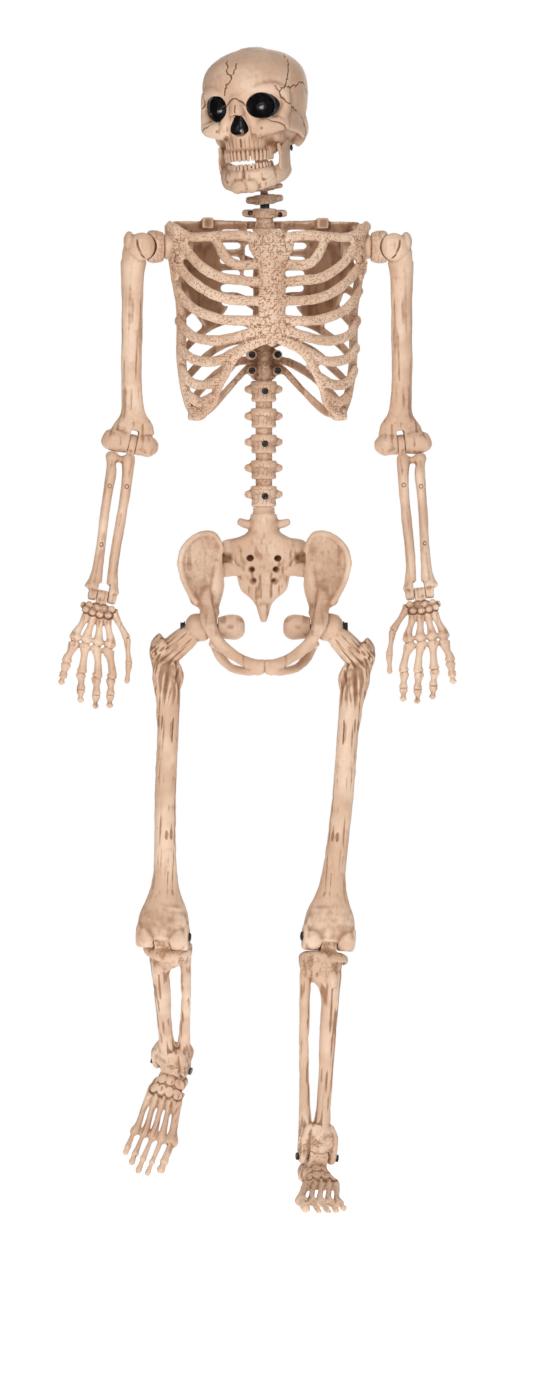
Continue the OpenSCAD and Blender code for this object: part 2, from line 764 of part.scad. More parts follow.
module foot(s) {
    color(bone_c) at_ankle(s) difference() {
        union() {
            one_skin() {
                limb([[0, 46, -34, 9, 10], [0, 40, -32, 13, 14], [0, 26, -27, 14, 15],
                    [0, 8, -22, 15, 15], [0, -14, -22, 19, 14], [0, -36, -26, 24, 11]],
                    [0, 0, 1], 10);
                for (k = [0 : 4])
                    let (x = -22 + 11.4 * k, o = -31 + 16 * k, d = k == 0 ? 1.3 : 1,
                        f = lookup(k, [[0, -128], [1, -137], [2, -136], [3, -128], [4, -118]]))
                    limb([[x * 0.8, -28, -26, 7 * d, 8], [mix(x, o, 0.5), -62, -29, 4.4 * d, 5],
                        [o, -88, -36, 6.4 * d, 6.4 * d], [o, -98, -36, 4 * d, 4 * d],
                        [o, mix(-98, f, 0.5), -37, 5 * d, 5 * d], [o, mix(-98, f, 0.72), -37, 3.8 * d, 3.8 * d],
                        [o, f + 4, -39, 5.4 * d, 4.6 * d], [o, f, -39, 2.6 * d, 2.4 * d]],
                        [0, 0, 1], 6);
            }
            along_x(26, 12);
            box(0, 0, -10, 26, 21, 14);
        }
        along_x(60, pin_r + fit);
        for (e = [-1, 1])
            along_x(16, 16, e * 21.1);
    }
}

// ---- arms ----

module shoulder_head(s) {
    color(bone_c) at_shoulder(s) difference() {
        union() {
            intersection() {
                sphere(r = 30);
                translate([-23.7, 0, 0]) rotate([0, 90, 0]) cylinder(h = 12, r = 20, center = true);
            }
            intersection() {
                along_x(20, 20, -12);
                box(-12, 0, 0, 20, 13.8, 30);
            }
            along_y(13.8, 11);
            translate([-75, 0, 0]) rotate([0, 90, 0]) cylinder(h = 50, r = 6);
        }
        along_y(60, pin_r + fit);
        difference() {
            along_y(60, 18.6);
            box(0, 0, 0, 60, 13.8, 60);
        }
        translate([-80, 0, 0]) rotate([0, 90, 0]) cylinder(h = 20, r = 2.5);
    }
}

module shoulder_pin(s) {
    color(dark_c) at_arm(s) along_y(38, pin_r);
}

module humerus(s) {
    color(bone_c) at_arm(s) difference() {
        union() {
            intersection() {
                along_y(44, 18.2);
                sphere(r = 24);
            }
            one_skin() {
                limb([[5, 0, -8, 17, 17], [8, 0, -22, 17, 17], [9, 0, -38, 15, 15],
                    [8.4, 0, -66, 12.6, 13], [7.2, 0, -110, 12, 12.4], [6, 0, -152, 12, 12],
                    [3, 0, -200, 13, 12], [1, 0, -222, 18, 12.5], [0, 0, -236, 27, 13],
                    [0, 0, -246, 29, 12]],
                    [0, 1, 0], 10);
                translate([0, 0, -upper_arm]) rotate([0, -carry[s], 0])
                    limb([[-30, 0, 2, 9, 9], [-24, 0, 8, 13, 16], [-10, 0, 6, 14, 16],
                        [4, 0, 5, 14, 16], [22, 0, 6, 14, 17], [33, 0, 8, 13, 14],
                        [38, 0, 6, 8, 9]], [0, 1, 0], 8);
            }
            translate([0, 0, -upper_arm]) rotate([0, -carry[s], 0])
                along_x(58, 13.5, 2);
        }
        box(0, 0, 6, 60, 14.2, 50);
        along_y(60, pin_r);
        translate([0, 0, -upper_arm]) rotate([0, -carry[s], 0]) {
            box(0, 0, -4, elbow_slot, 60, 44);
            along_x(90, pin_r);
            difference() {
                along_x(100, 60);
                translate([0, 0, 16]) cube([102, 130, 44], center = true);
                along_x(102, 15.8);
                translate([0, 0, 60]) cube([102, 130, 60], center = true);
            }
        }
    }
}

module elbow_pin(s) {
    color(dark_c) at_arm(s) translate([0, 0, -upper_arm]) rotate([0, -carry[s], 0])
        along_x(60, pin_r, 2);
}

module forearm_bone(s) {
    color(bone_c) at_forearm(s) difference() {
        union() {
            one_skin() {
                limb([[22.5, 0, -17.5, 8, 8], [22.4, 0, -25, 8, 8], [21, 0, -32, 5.4, 6],
                    [19, 0, -70, 5.2, 6], [17.6, 0, -100, 5.2, 6], [13, 0, -150, 5.2, 6],
                    [12, 0, -185, 7, 7.6], [13, 0, -200, 9.5, 9]], [0, 1, 0], 8);
                limb([[1, 0, -17.5, 8, 8], [0, 0, -28, 7.4, 8], [-2.4, 0, -46, 6, 7],
                    [-3.6, 0, -70, 5.4, 6.4], [-5, 0, -110, 5.2, 6], [-6.4, 0, -160, 5.2, 6],
                    [-9.6, 0, -188, 6.4, 7], [-12, 0, -202, 7.4, 8]], [0, 1, 0], 8);
                limb([[1, 0, -24, 5, 5], [22, 0, -24, 5, 5]], [0, 0, 1], 6);
                for (e = [-1, 1])
                    limb([[e * 12.4, 0, -188, 6, 7.6], [e * 12.6, 0, -204, 5.8, 7.6]],
                        [0, 1, 0], 8);
            }
            for (e = [-1, 1])
                along_x(11, 8, e * 13, 0, -forearm);
            along_x(9.8, 12.5);
            box(0, 0, -14, 9.7, 14, 16);
        }
        along_x(60, pin_r + fit);
        along_x(70, pin_r, 0, 0, -forearm);
        box(0, 0, -forearm + 3, 14.6, 40, 27);
    }
}

module wrist_pin(s) {
    color(dark_c) at_hand(s) along_x(32, pin_r);
}

// Fingers of the hand: x of knuckle, middle and tip, and length.
FINGERS = [[-10, -12, -11, 128], [2, 0, 3, 132], [13, 15, 16, 129], [24, 31, 37, 112]];

module hand(s) {
    color(bone_c) at_hand(s) difference() {
        union() {
            one_skin() {
                limb([[-22, 0, -17, 5, 6], [-14, 0, -18, 8, 8], [0, 0, -18, 8.4, 9],
                    [14, 0, -18, 8, 8], [24, 0, -17, 5, 6]], [0, 1, 0], 8);
                for (f = FINGERS)
                    let (l = f[3])
                    limb([[f[0] * 0.75, 0, -17, 5, 5], [f[0] * 0.9, -1, -24, 5, 5],
                        [mix(f[0], f[1], 0.3), -1, -38, 3.4, 3.6], [mix(f[0], f[1], 0.8), 0, -58, 5, 5],
                        [f[1], 1, -64, 3.4, 3.6], [f[1], 3, -84, 3.2, 3.4], [f[1], 4, -92, 4.6, 4.6],
                        [mix(f[1], f[2], 0.5), 6, mix(-92, -l, 0.45), 3, 3.2],
                        [f[2], 8, mix(-92, -l, 0.66), 4, 4], [f[2], 10, -l, 1.8, 2]],
                        [0, 1, 0], 6);
                limb([[-17, 0, -16, 5, 5], [-26, -4, -28, 4, 4], [-32, -8, -44, 5, 5],
                    [-35, -9, -58, 3.6, 3.8], [-36, -9, -72, 4.6, 4.6], [-34, -8, -84, 3.2, 3.4],
                    [-32, -7, -96, 1.8, 2]], [0, 1, 0], 6);
            }
            along_x(14, 8);
            box(0, 0, -7, 14, 11, 14);
        }
        along_x(60, pin_r + fit);
    }
}

// ---- assembly ----
skull_front();
skull_rear();
jaw();
jaw_pin(0);  // jaw_pin_right
jaw_pin(1);  // jaw_pin_left
jaw_spring(0);  // jaw_spring_right
jaw_spring(1);  // jaw_spring_left
atlas();
neck_vertebra_upper();
neck_vertebra_lower();
neck_link();
neck_nod_pin();
neck_tilt_pin();
neck_post();
rib_cage_front();
rib_cage_rear();
rib_cage_screws();
spine_tube();
vertebra_t12();
vertebra_l1();
vertebra_l2();
vertebra_l3();
vertebra_l4();
vertebra_screws();
waist_collar();
sacrum();
hip_bone(0);  // hip_bone_right
hip_bone(1);  // hip_bone_left
hip_knob(0);  // hip_knob_right
hip_knob(1);  // hip_knob_left
hip_bolt(0);  // hip_bolt_right
hip_bolt(1);  // hip_bolt_left
femur(0);  // femur_right
femur(1);  // femur_left
knee_pin(0);  // knee_pin_right
knee_pin(1);  // knee_pin_left
shin_bone(0);  // shin_right
shin_bone(1);  // shin_left
ankle_pin(0);  // ankle_pin_right
ankle_pin(1);  // ankle_pin_left
foot(0);  // foot_right
foot(1);  // foot_left
shoulder_head(0);  // shoulder_head_right
shoulder_head(1);  // shoulder_head_left
shoulder_pin(0);  // shoulder_pin_right
shoulder_pin(1);  // shoulder_pin_left
humerus(0);  // humerus_right
humerus(1);  // humerus_left
elbow_pin(0);  // elbow_pin_right
elbow_pin(1);  // elbow_pin_left
forearm_bone(0);  // forearm_right
forearm_bone(1);  // forearm_left
wrist_pin(0);  // wrist_pin_right
wrist_pin(1);  // wrist_pin_left
hand(0);  // hand_right
hand(1);  // hand_left
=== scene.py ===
"""Posable hanging skeleton: the visual model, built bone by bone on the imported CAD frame.

Every bone is shaped in millimetres in its own local frame, whose origin and axes come from the
joints. In a local frame x points away from the body's middle, y to the back and z up the bone.
"""

import json
import math

import bmesh
import bpy
import numpy as np
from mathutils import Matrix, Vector


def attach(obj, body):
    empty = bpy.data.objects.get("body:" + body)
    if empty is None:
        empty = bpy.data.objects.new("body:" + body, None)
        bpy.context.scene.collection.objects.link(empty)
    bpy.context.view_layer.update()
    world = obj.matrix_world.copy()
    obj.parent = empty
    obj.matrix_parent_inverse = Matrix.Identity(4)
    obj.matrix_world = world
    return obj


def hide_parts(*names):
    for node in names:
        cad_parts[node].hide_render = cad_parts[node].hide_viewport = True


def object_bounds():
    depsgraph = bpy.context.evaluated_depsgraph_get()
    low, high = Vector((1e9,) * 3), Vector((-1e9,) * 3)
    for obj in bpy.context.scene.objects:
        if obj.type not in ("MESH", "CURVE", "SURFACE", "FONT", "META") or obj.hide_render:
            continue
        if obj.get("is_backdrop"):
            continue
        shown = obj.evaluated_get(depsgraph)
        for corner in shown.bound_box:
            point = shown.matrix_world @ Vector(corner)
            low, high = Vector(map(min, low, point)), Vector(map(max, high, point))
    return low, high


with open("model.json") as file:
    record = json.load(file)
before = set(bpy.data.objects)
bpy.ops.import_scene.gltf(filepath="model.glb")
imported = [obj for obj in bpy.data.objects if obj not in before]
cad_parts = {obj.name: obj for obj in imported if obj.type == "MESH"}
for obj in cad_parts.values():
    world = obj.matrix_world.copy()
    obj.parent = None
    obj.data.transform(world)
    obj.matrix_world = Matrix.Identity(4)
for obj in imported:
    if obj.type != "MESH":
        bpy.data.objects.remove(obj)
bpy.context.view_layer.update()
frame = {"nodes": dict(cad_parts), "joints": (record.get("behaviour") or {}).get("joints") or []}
JOINTS = {j["name"]: j for j in frame["joints"]}
MM = 0.001

# Heights in the trunk frame, which stands on the lowest toe
WAIST_Z = 913
NECK_Y = -12
JAW_OPEN = 5
FOOT_POINT = {"right": 10, "left": 14}
KNEE_OUT, THIGH = 22, 407
SEAM_Y = -48
SHOULDER_AXLE = (0, -50, 1262)
HANG_EYE = (0, 62, 1232)


# ---------------------------------------------------------------- local frames
def unit(v):
    v = np.asarray(v, float)
    return v / np.linalg.norm(v)


def pos(joint):
    return np.array(JOINTS[joint]["pos_m"]) / MM


def axis(joint):
    return unit(JOINTS[joint]["axis"])


def turned(y, z, degrees):
    """The y and z axes turned about x by that many degrees."""
    c, s = math.cos(math.radians(degrees)), math.sin(math.radians(degrees))
    return y * c + z * s, z * c - y * s


class Place:
    """A local frame: origin in mm and the local x, y and z directions."""

    def __init__(self, origin, x, y, z):
        self.origin = np.asarray(origin, float)
        self.axes = np.column_stack([x, y, z])

    def out(self, v):
        return (v @ self.axes.T + self.origin) * MM

    @property
    def mirrored(self):
        return np.linalg.det(self.axes) < 0


X, Y, Z = np.eye(3)
TRUNK = Place(pos("waist_turn") - Z * WAIST_Z, X, Y, Z)
NECK = Place(pos("neck_nod"), X, Y, Z)
UPPER_NECK = Place(
    pos("neck_tilt"), np.cross(axis("neck_tilt"), axis("head_turn")), axis("neck_tilt"), axis("head_turn")
)
head_y = np.cross(axis("head_turn"), axis("jaw_open"))
HEAD = Place(pos("head_turn"), axis("jaw_open"), head_y, axis("head_turn"))
SKULL = Place(HEAD.origin + head_y * 22, axis("jaw_open"), head_y, axis("head_turn"))
JAW = Place(pos("jaw_open"), axis("jaw_open"), *turned(head_y, axis("head_turn"), JAW_OPEN))
PELVIS = Place(pos("waist_turn"), axis("hip_left"), np.cross(Z, axis("hip_left")), Z)


def side_places(side):
    """The local frames of one arm and one leg, by bone."""
    sg = 1 if side == "left" else -1
    j = {n: f"{n}_{side}" for n in ("arm_raise", "elbow", "wrist", "hip", "knee", "ankle")}
    p = {n: pos(q) for n, q in j.items()}
    up = unit(p["arm_raise"] - p["elbow"])
    out = {
        "shoulder": Place(p["arm_raise"], X * sg, Y, Z),
        "arm": Place(p["arm_raise"], sg * np.cross(Y, up), Y, up),
    }
    fx, fz = -sg * axis(j["elbow"]), unit(p["elbow"] - p["wrist"])
    fy = sg * np.cross(fz, fx)
    out["elbow"] = Place(p["elbow"], fx, Y, sg * np.cross(fx, Y))
    out["forearm"] = Place(p["elbow"], fx, fy, fz)
    out["hand"] = Place(p["wrist"], fx, fy, fz)
    hx = sg * axis(j["hip"])
    hy = sg * np.cross(Z, hx)
    out["hip"] = Place(p["hip"], hx, hy, Z)
    v = p["knee"] - p["hip"]
    lean = math.atan2(v @ Z, v @ hx) - math.atan2(-THIGH, KNEE_OUT)
    lx = hx * math.cos(lean) + Z * math.sin(lean)
    lz = Z * math.cos(lean) - hx * math.sin(lean)
    out["thigh"] = Place(p["hip"], lx, hy, lz)
    kx = sg * axis(j["knee"])
    out["knee"] = Place(p["knee"], kx, sg * np.cross(lz, kx), lz)
    v = p["knee"] - p["ankle"]
    kz = unit(v - (v @ kx) * kx)
    out["shin"] = Place(p["knee"], kx, sg * np.cross(kz, kx), kz)
    ax = sg * axis(j["ankle"])
    ay = sg * np.cross(kz, ax)
    out["fork"] = Place(p["ankle"], ax, ay, kz)
    out["foot"] = Place(p["ankle"], ax, *turned(ay, kz, FOOT_POINT[side]))
    return out


SIDES = {side: side_places(side) for side in ("right", "left")}


# ---------------------------------------------------------------- shape parts
def catmull(p, sub):
    """A smooth row of points through p, sub steps to a span."""
    p = np.asarray(p, float)
    q = np.vstack([2 * p[0] - p[1], p, 2 * p[-1] - p[-2]])
    rows = []
    for i in range(1, len(q) - 2):
        for t in np.linspace(0, 1, sub, endpoint=False):
            a, b, c, d = q[i - 1 : i + 3]
            bend, rise = 2 * a - 5 * b + 4 * c - d, 3 * b - a - 3 * c + d
            rows.append(0.5 * (2 * b + (c - a) * t + bend * t**2 + rise * t**3))
    return np.vstack([rows, p[-1]])


def tube(p, ref=(0, 1, 0), n=16, sub=5):
    """A closed round-ended tube through rows [x, y, z, half width, half depth]."""
    s = catmull(p, sub)
    s[:, 3:] = np.maximum(s[:, 3:], 0.4)
    t = np.gradient(s[:, :3], axis=0)
    t /= np.linalg.norm(t, axis=1)[:, None]
    rings = []

    def ring(c, tan, a, b):
        u = unit(np.cross(ref, tan))
        v = np.cross(tan, u)
        w = np.linspace(0, 2 * math.pi, n, endpoint=False)
        return c + np.outer(np.cos(w), u) * a + np.outer(np.sin(w), v) * b

    for end, sign in ((0, -1), (-1, 1)):
        a, b = s[end, 3:]
        caps = []
        for k in (80, 55, 30):
            c, h = math.cos(math.radians(k)), math.sin(math.radians(k))
            caps.append(ring(s[end, :3] + sign * t[end] * h * min(a, b, 4) * 0.7, t[end], a * c, b * c))
        if sign < 0:
            first = caps
        else:
            last = caps[::-1]
    rings = first + [ring(r[:3], q, r[3], r[4]) for r, q in zip(s, t)] + last
    v = np.vstack(rings)
    m = len(rings)
    f = []
    for j in range(m - 1):
        for i in range(n):
            a, b = j * n + i, j * n + (i + 1) % n
            f.append((a, b, b + n, a + n))
    f.append(tuple(range(n - 1, -1, -1)))
    f.append(tuple(range((m - 1) * n, m * n)))
    return v, f


def blob(c, r, n=20):
    """A closed ellipsoid."""
    return tube(
        [
            (c[0], c[1], c[2] + r[2] * k, r[0] * math.sqrt(1 - k * k), r[1] * math.sqrt(1 - k * k))
            for k in (-0.99, -0.9, -0.6, 0, 0.6, 0.9, 0.99)
        ],
        n=n,
        sub=3,
    )


def lathe_x(profile, n=40):
    """A closed solid turned about x, through [x, radius] points."""
    rings = [
        [(x, r * math.cos(a), r * math.sin(a)) for a in np.linspace(0, 2 * math.pi, n, endpoint=False)]
        for x, r in profile
    ]
    return skin(rings)


def lathe_z(profile, n=40):
    """A closed solid turned about z, through [z, radius] points."""
    v, f = lathe_x(profile, n)
    return v[:, [1, 2, 0]], f


def skin(rings):
    """A closed solid through rings of the same number of points."""
    n = len(rings[0])
    v = np.array([p for r in rings for p in r], float)
    f = [
        (j * n + i, j * n + (i + 1) % n, (j + 1) * n + (i + 1) % n, (j + 1) * n + i)
        for j in range(len(rings) - 1)
        for i in range(n)
    ]
    f.append(tuple(range(n - 1, -1, -1)))
    f.append(tuple(range((len(rings) - 1) * n, len(rings) * n)))
    return v, f


def plate(fn, us, vs, thick, keep):
    """A curved plate: fn(u, v) gives its middle surface, keep(u, v) where there is material."""
    pts = np.array([[fn(u, w) for w in vs] for u in us], float)
    nrm = np.cross(np.gradient(pts, axis=0), np.gradient(pts, axis=1))
    nrm /= np.linalg.norm(nrm, axis=2)[:, :, None] + 1e-9
    nu, nv = len(us), len(vs)
    v = np.vstack([(pts + nrm * thick / 2).reshape(-1, 3), (pts - nrm * thick / 2).reshape(-1, 3)])
    on = np.array(
        [
            [keep((us[i] + us[i + 1]) / 2, (vs[k] + vs[k + 1]) / 2) for k in range(nv - 1)]
            for i in range(nu - 1)
        ]
    )
    back = nu * nv
    f = []
    for i, k in zip(*np.nonzero(on)):
        a, b, c, d = i * nv + k, (i + 1) * nv + k, (i + 1) * nv + k + 1, i * nv + k + 1
        f.append((a, b, c, d))
        f.append((d + back, c + back, b + back, a + back))
        for di, dk, e, g in ((0, -1, a, b), (1, 0, b, c), (0, 1, c, d), (-1, 0, d, a)):
            ni, nk = i + di, k + dk
            if not (0 <= ni < nu - 1 and 0 <= nk < nv - 1 and on[ni, nk]):
                f.append((g, e, e + back, g + back))
    return v, f


def moved(part, by=(0, 0, 0), to=None):
    """The part in another local frame, or shifted."""
    v, f = part
    v = v + np.asarray(by, float)
    if to is not None:
        v = v @ to.T
    return v, f


def spun(degrees):
    """A turn about z, for moved()."""
    c, s = math.cos(math.radians(degrees)), math.sin(math.radians(degrees))
    return np.array([[c, -s, 0], [s, c, 0], [0, 0, 1]])


def flipped(part):
    """The part mirrored in x."""
    v, f = part
    return v * [-1, 1, 1], [q[::-1] for q in f]


# ---------------------------------------------------------------- noise and fields
def lattice(i, j, k, seed):
    h = (i * 374761393 + j * 668265263 + k * 2147483647 + seed * 1274126177) & 0x7FFFFFFF
    h = ((h ^ (h >> 13)) * 1274126177) & 0x7FFFFFFF
    return ((h ^ (h >> 16)) & 0xFFFF) / 65535.0


def grain(v, size, seed=0):
    """Smooth noise from -1 to 1 with cells of that size in mm."""
    q = v / size
    b = np.floor(q).astype(np.int64)
    f = q - b
    f = f * f * (3 - 2 * f)
    total = np.zeros(len(v))
    for dx in (0, 1):
        for dy in (0, 1):
            for dz in (0, 1):
                w = (
                    (f[:, 0] if dx else 1 - f[:, 0])
                    * (f[:, 1] if dy else 1 - f[:, 1])
                    * (f[:, 2] if dz else 1 - f[:, 2])
                )
                total += w * lattice(b[:, 0] + dx, b[:, 1] + dy, b[:, 2] + dz, seed)
    return total * 2 - 1


def smoothstep(a, b, x):
    t = np.clip((x - a) / (b - a), 0, 1)
    return t * t * (3 - 2 * t)


def to_line(v, line):
    """Distance of each point from a line of points."""
    best = np.full(len(v), 1e9)
    line = np.asarray(line, float)
    for a, b in zip(line[:-1], line[1:]):
        ab = b - a
        t = np.clip(((v - a) @ ab) / max(ab @ ab, 1e-9), 0, 1)
        best = np.minimum(best, np.linalg.norm(v - (a + t[:, None] * ab), axis=1))
    return best


# ---------------------------------------------------------------- mesh building
def joined(parts):
    """Several parts as one, still closed solids that overlap."""
    vs, fs, k = [], [], 0
    for v, f in parts:
        vs.append(v)
        fs += [tuple(i + k for i in q) for q in f]
        k += len(v)
    return np.vstack(vs), fs


def mesh_of(parts):
    m = bpy.data.meshes.new("part")
    v, f = joined(parts)
    m.from_pydata(v.tolist(), [], f)
    m.update()
    return m


def remeshed(parts, voxel):
    """The parts joined to one skin of even quads."""
    return remeshed_mesh(mesh_of(parts), voxel)


def remeshed_mesh(m, voxel):
    o = bpy.data.objects.new("part", m)
    bpy.context.scene.collection.objects.link(o)
    mod = o.modifiers.new("skin", "REMESH")
    mod.mode = "VOXEL"
    mod.voxel_size = voxel
    mod.adaptivity = 0
    out = bpy.data.meshes.new_from_object(o.evaluated_get(bpy.context.evaluated_depsgraph_get()))
    bpy.data.objects.remove(o)
    bpy.data.meshes.remove(m)
    return out


def points(mesh):
    v = np.empty(len(mesh.vertices) * 3)
    mesh.vertices.foreach_get("co", v)
    return v.reshape(-1, 3)


def normals(mesh):
    n = np.empty(len(mesh.vertices) * 3, np.float32)
    mesh.vertex_normals.foreach_get("vector", n)
    return n.reshape(-1, 3).astype(float)


def set_points(mesh, v):
    mesh.vertices.foreach_set("co", np.ascontiguousarray(v, np.float32).ravel())
    mesh.update()


def edges(mesh):
    e = np.empty(len(mesh.edges) * 2, np.int32)
    mesh.edges.foreach_get("vertices", e)
    return e.reshape(-1, 2)


def relaxed(v, e, steps, share=0.5):
    """Values or points evened out along the edges."""
    v = v.astype(float)
    flat = v.ndim == 1
    if flat:
        v = v[:, None]
    count = np.bincount(e.ravel(), minlength=len(v)).astype(float)
    count[count == 0] = 1
    for _ in range(steps):
        s = np.column_stack(
            [
                np.bincount(e[:, 0], v[e[:, 1], k], len(v)) + np.bincount(e[:, 1], v[e[:, 0], k], len(v))
                for k in range(v.shape[1])
            ]
        )
        v = v + share * (s / count[:, None] - v)
    return v[:, 0] if flat else v


def set_field(mesh, name, values):
    a = mesh.attributes.new(name, "FLOAT", "POINT")
    a.data.foreach_set("value", np.ascontiguousarray(values, np.float32))


def finish_bone(mesh, place, name, body, nodes, pit, ink, wash_and_shade):
    """Colours the mesh by its hollows (brown wash in fine crevices, painted shade in broad hollows), puts it
    in its place and on its body.
    """
    v, n, e = points(mesh), normals(mesh), edges(mesh)
    fine = np.einsum("ij,ij->i", relaxed(v, e, 3) - v, n)
    wide = np.einsum("ij,ij->i", relaxed(v, e, 24) - v, n)
    # Brown antique wash gathers in fine crevices and is rubbed off ridges; the broad term is painted shade,
    # darker in wide hollows and lighter on wide bulges.
    hollow_wash_and_shade = np.clip(fine * 1.8, -0.3, 0.8) + np.clip(wide * 0.5, -0.45, 1.0) + wash_and_shade
    set_field(mesh, "wash_and_shade", hollow_wash_and_shade)
    set_field(mesh, "ink", ink)
    set_field(mesh, "pit", np.full(len(v), float(pit)))
    set_points(mesh, place.out(v))
    if place.mirrored:
        mesh.flip_normals()
    mesh.polygons.foreach_set("use_smooth", np.ones(len(mesh.polygons), bool))
    o = bpy.data.objects.new(name, mesh)
    bpy.context.scene.collection.objects.link(o)
    o.data.materials.clear()
    o.data.materials.append(bone_material)
    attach(o, body)
    if nodes:
        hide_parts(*nodes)
    return o


def bone(name, parts, place, body, nodes, voxel=1.3, smooth=3, sculpt=None, lumps=0.35, pit=0.0, cuts=(),
         base_wash=0.0):
    """One moulded bone from overlapping parts, less the cuts.

    sculpt(v, n) gives the new points, the brown wash with any painted shade, and the black paint of each
    point.
    """
    mesh = remeshed(parts, voxel)
    if cuts:
        mesh = remeshed_mesh(without(mesh, remeshed(cuts, voxel)), voxel)
    set_points(mesh, relaxed(points(mesh), edges(mesh), smooth))
    v, n = points(mesh), normals(mesh)
    v = v + n * (lumps * grain(v, 17, 3) + lumps * 0.45 * grain(v, 7, 5))[:, None]
    wash_and_shade, ink = np.zeros(len(v)), np.zeros(len(v))
    if sculpt:
        v, wash_and_shade, ink = sculpt(v, n)
    if pit:
        dots = grain(v, 2.8, 11) + 0.7 * grain(v, 4.6, 12)
        v = v - n * (pit * 0.5 * smoothstep(0.1, 0.8, dots))[:, None]
    set_points(mesh, v)
    return finish_bone(mesh, place, name, body, nodes, pit, ink, wash_and_shade + base_wash)


def without(mesh, cutter):
    """The mesh with the cutter taken out of it."""
    a = bpy.data.objects.new("work", mesh)
    b = bpy.data.objects.new("cut", cutter)
    for o in (a, b):
        bpy.context.scene.collection.objects.link(o)
    mod = a.modifiers.new("cut", "BOOLEAN")
    mod.operation = "DIFFERENCE"
    mod.solver = "MANIFOLD"
    mod.object = b
    out = bpy.data.meshes.new_from_object(a.evaluated_get(bpy.context.evaluated_depsgraph_get()))
    bpy.data.objects.remove(a)
    bpy.data.objects.remove(b)
    return out


# ---------------------------------------------------------------- materials
class Nodes:
    """Short names for building a node tree."""

    def __init__(self, name):
        self.material = bpy.data.materials.new(name)
        self.material.use_nodes = True
        self.tree = self.material.node_tree
        self.shader = self.tree.nodes["Principled BSDF"]

    def add(self, kind, **values):
        n = self.tree.nodes.new(kind)
        for k, v in values.items():
            if hasattr(n, k):
                setattr(n, k, v)
            else:
                n.inputs[k.replace("_", " ")].default_value = v
        return n

    def link(self, a, b):
        self.tree.links.new(a, b)

    def attribute(self, name):
        return self.add("ShaderNodeAttribute", attribute_name=name).outputs["Fac"]

    def noise(self, scale, detail=4, rough=0.6):
        n = self.add("ShaderNodeTexNoise")
        n.inputs["Scale"].default_value = scale
        n.inputs["Detail"].default_value = detail
        n.inputs["Roughness"].default_value = rough
        self.link(self.coords, n.inputs["Vector"])
        return n.outputs["Fac"]

    def math(self, op, a, b=0.0, clamp=False):
        n = self.add("ShaderNodeMath", operation=op, use_clamp=clamp)
        for i, x in enumerate((a, b)):
            if isinstance(x, (int, float)):
                n.inputs[i].default_value = x
            else:
                self.link(x, n.inputs[i])
        return n.outputs[0]

    def ramp(self, x, low, high, to_low=0.0, to_high=1.0):
        n = self.add("ShaderNodeMapRange", interpolation_type="SMOOTHSTEP")
        for i, q in enumerate((x, low, high, to_low, to_high)):
            if isinstance(q, (int, float)):
                n.inputs[i].default_value = q
            else:
                self.link(q, n.inputs[i])
        return n.outputs[0]

    def mix(self, f, a, b):
        n = self.add("ShaderNodeMix", data_type="RGBA")
        for i, x in ((0, f), (6, a), (7, b)):
            if isinstance(x, (int, float)):
                n.inputs[i].default_value = x
            elif isinstance(x, tuple):
                n.inputs[i].default_value = (*x, 1)
            else:
                self.link(x, n.inputs[i])
        return n.outputs[2]


CREAM = (0.57, 0.375, 0.255)
PALE = (0.72, 0.53, 0.39)
# TAN and BROWN colour the brown antique wash and also the painted shade in hollows
TAN = (0.29, 0.14, 0.066)
ROSE = (0.68, 0.42, 0.31)
BROWN = (0.15, 0.062, 0.028)
INK = (0.008, 0.007, 0.007)


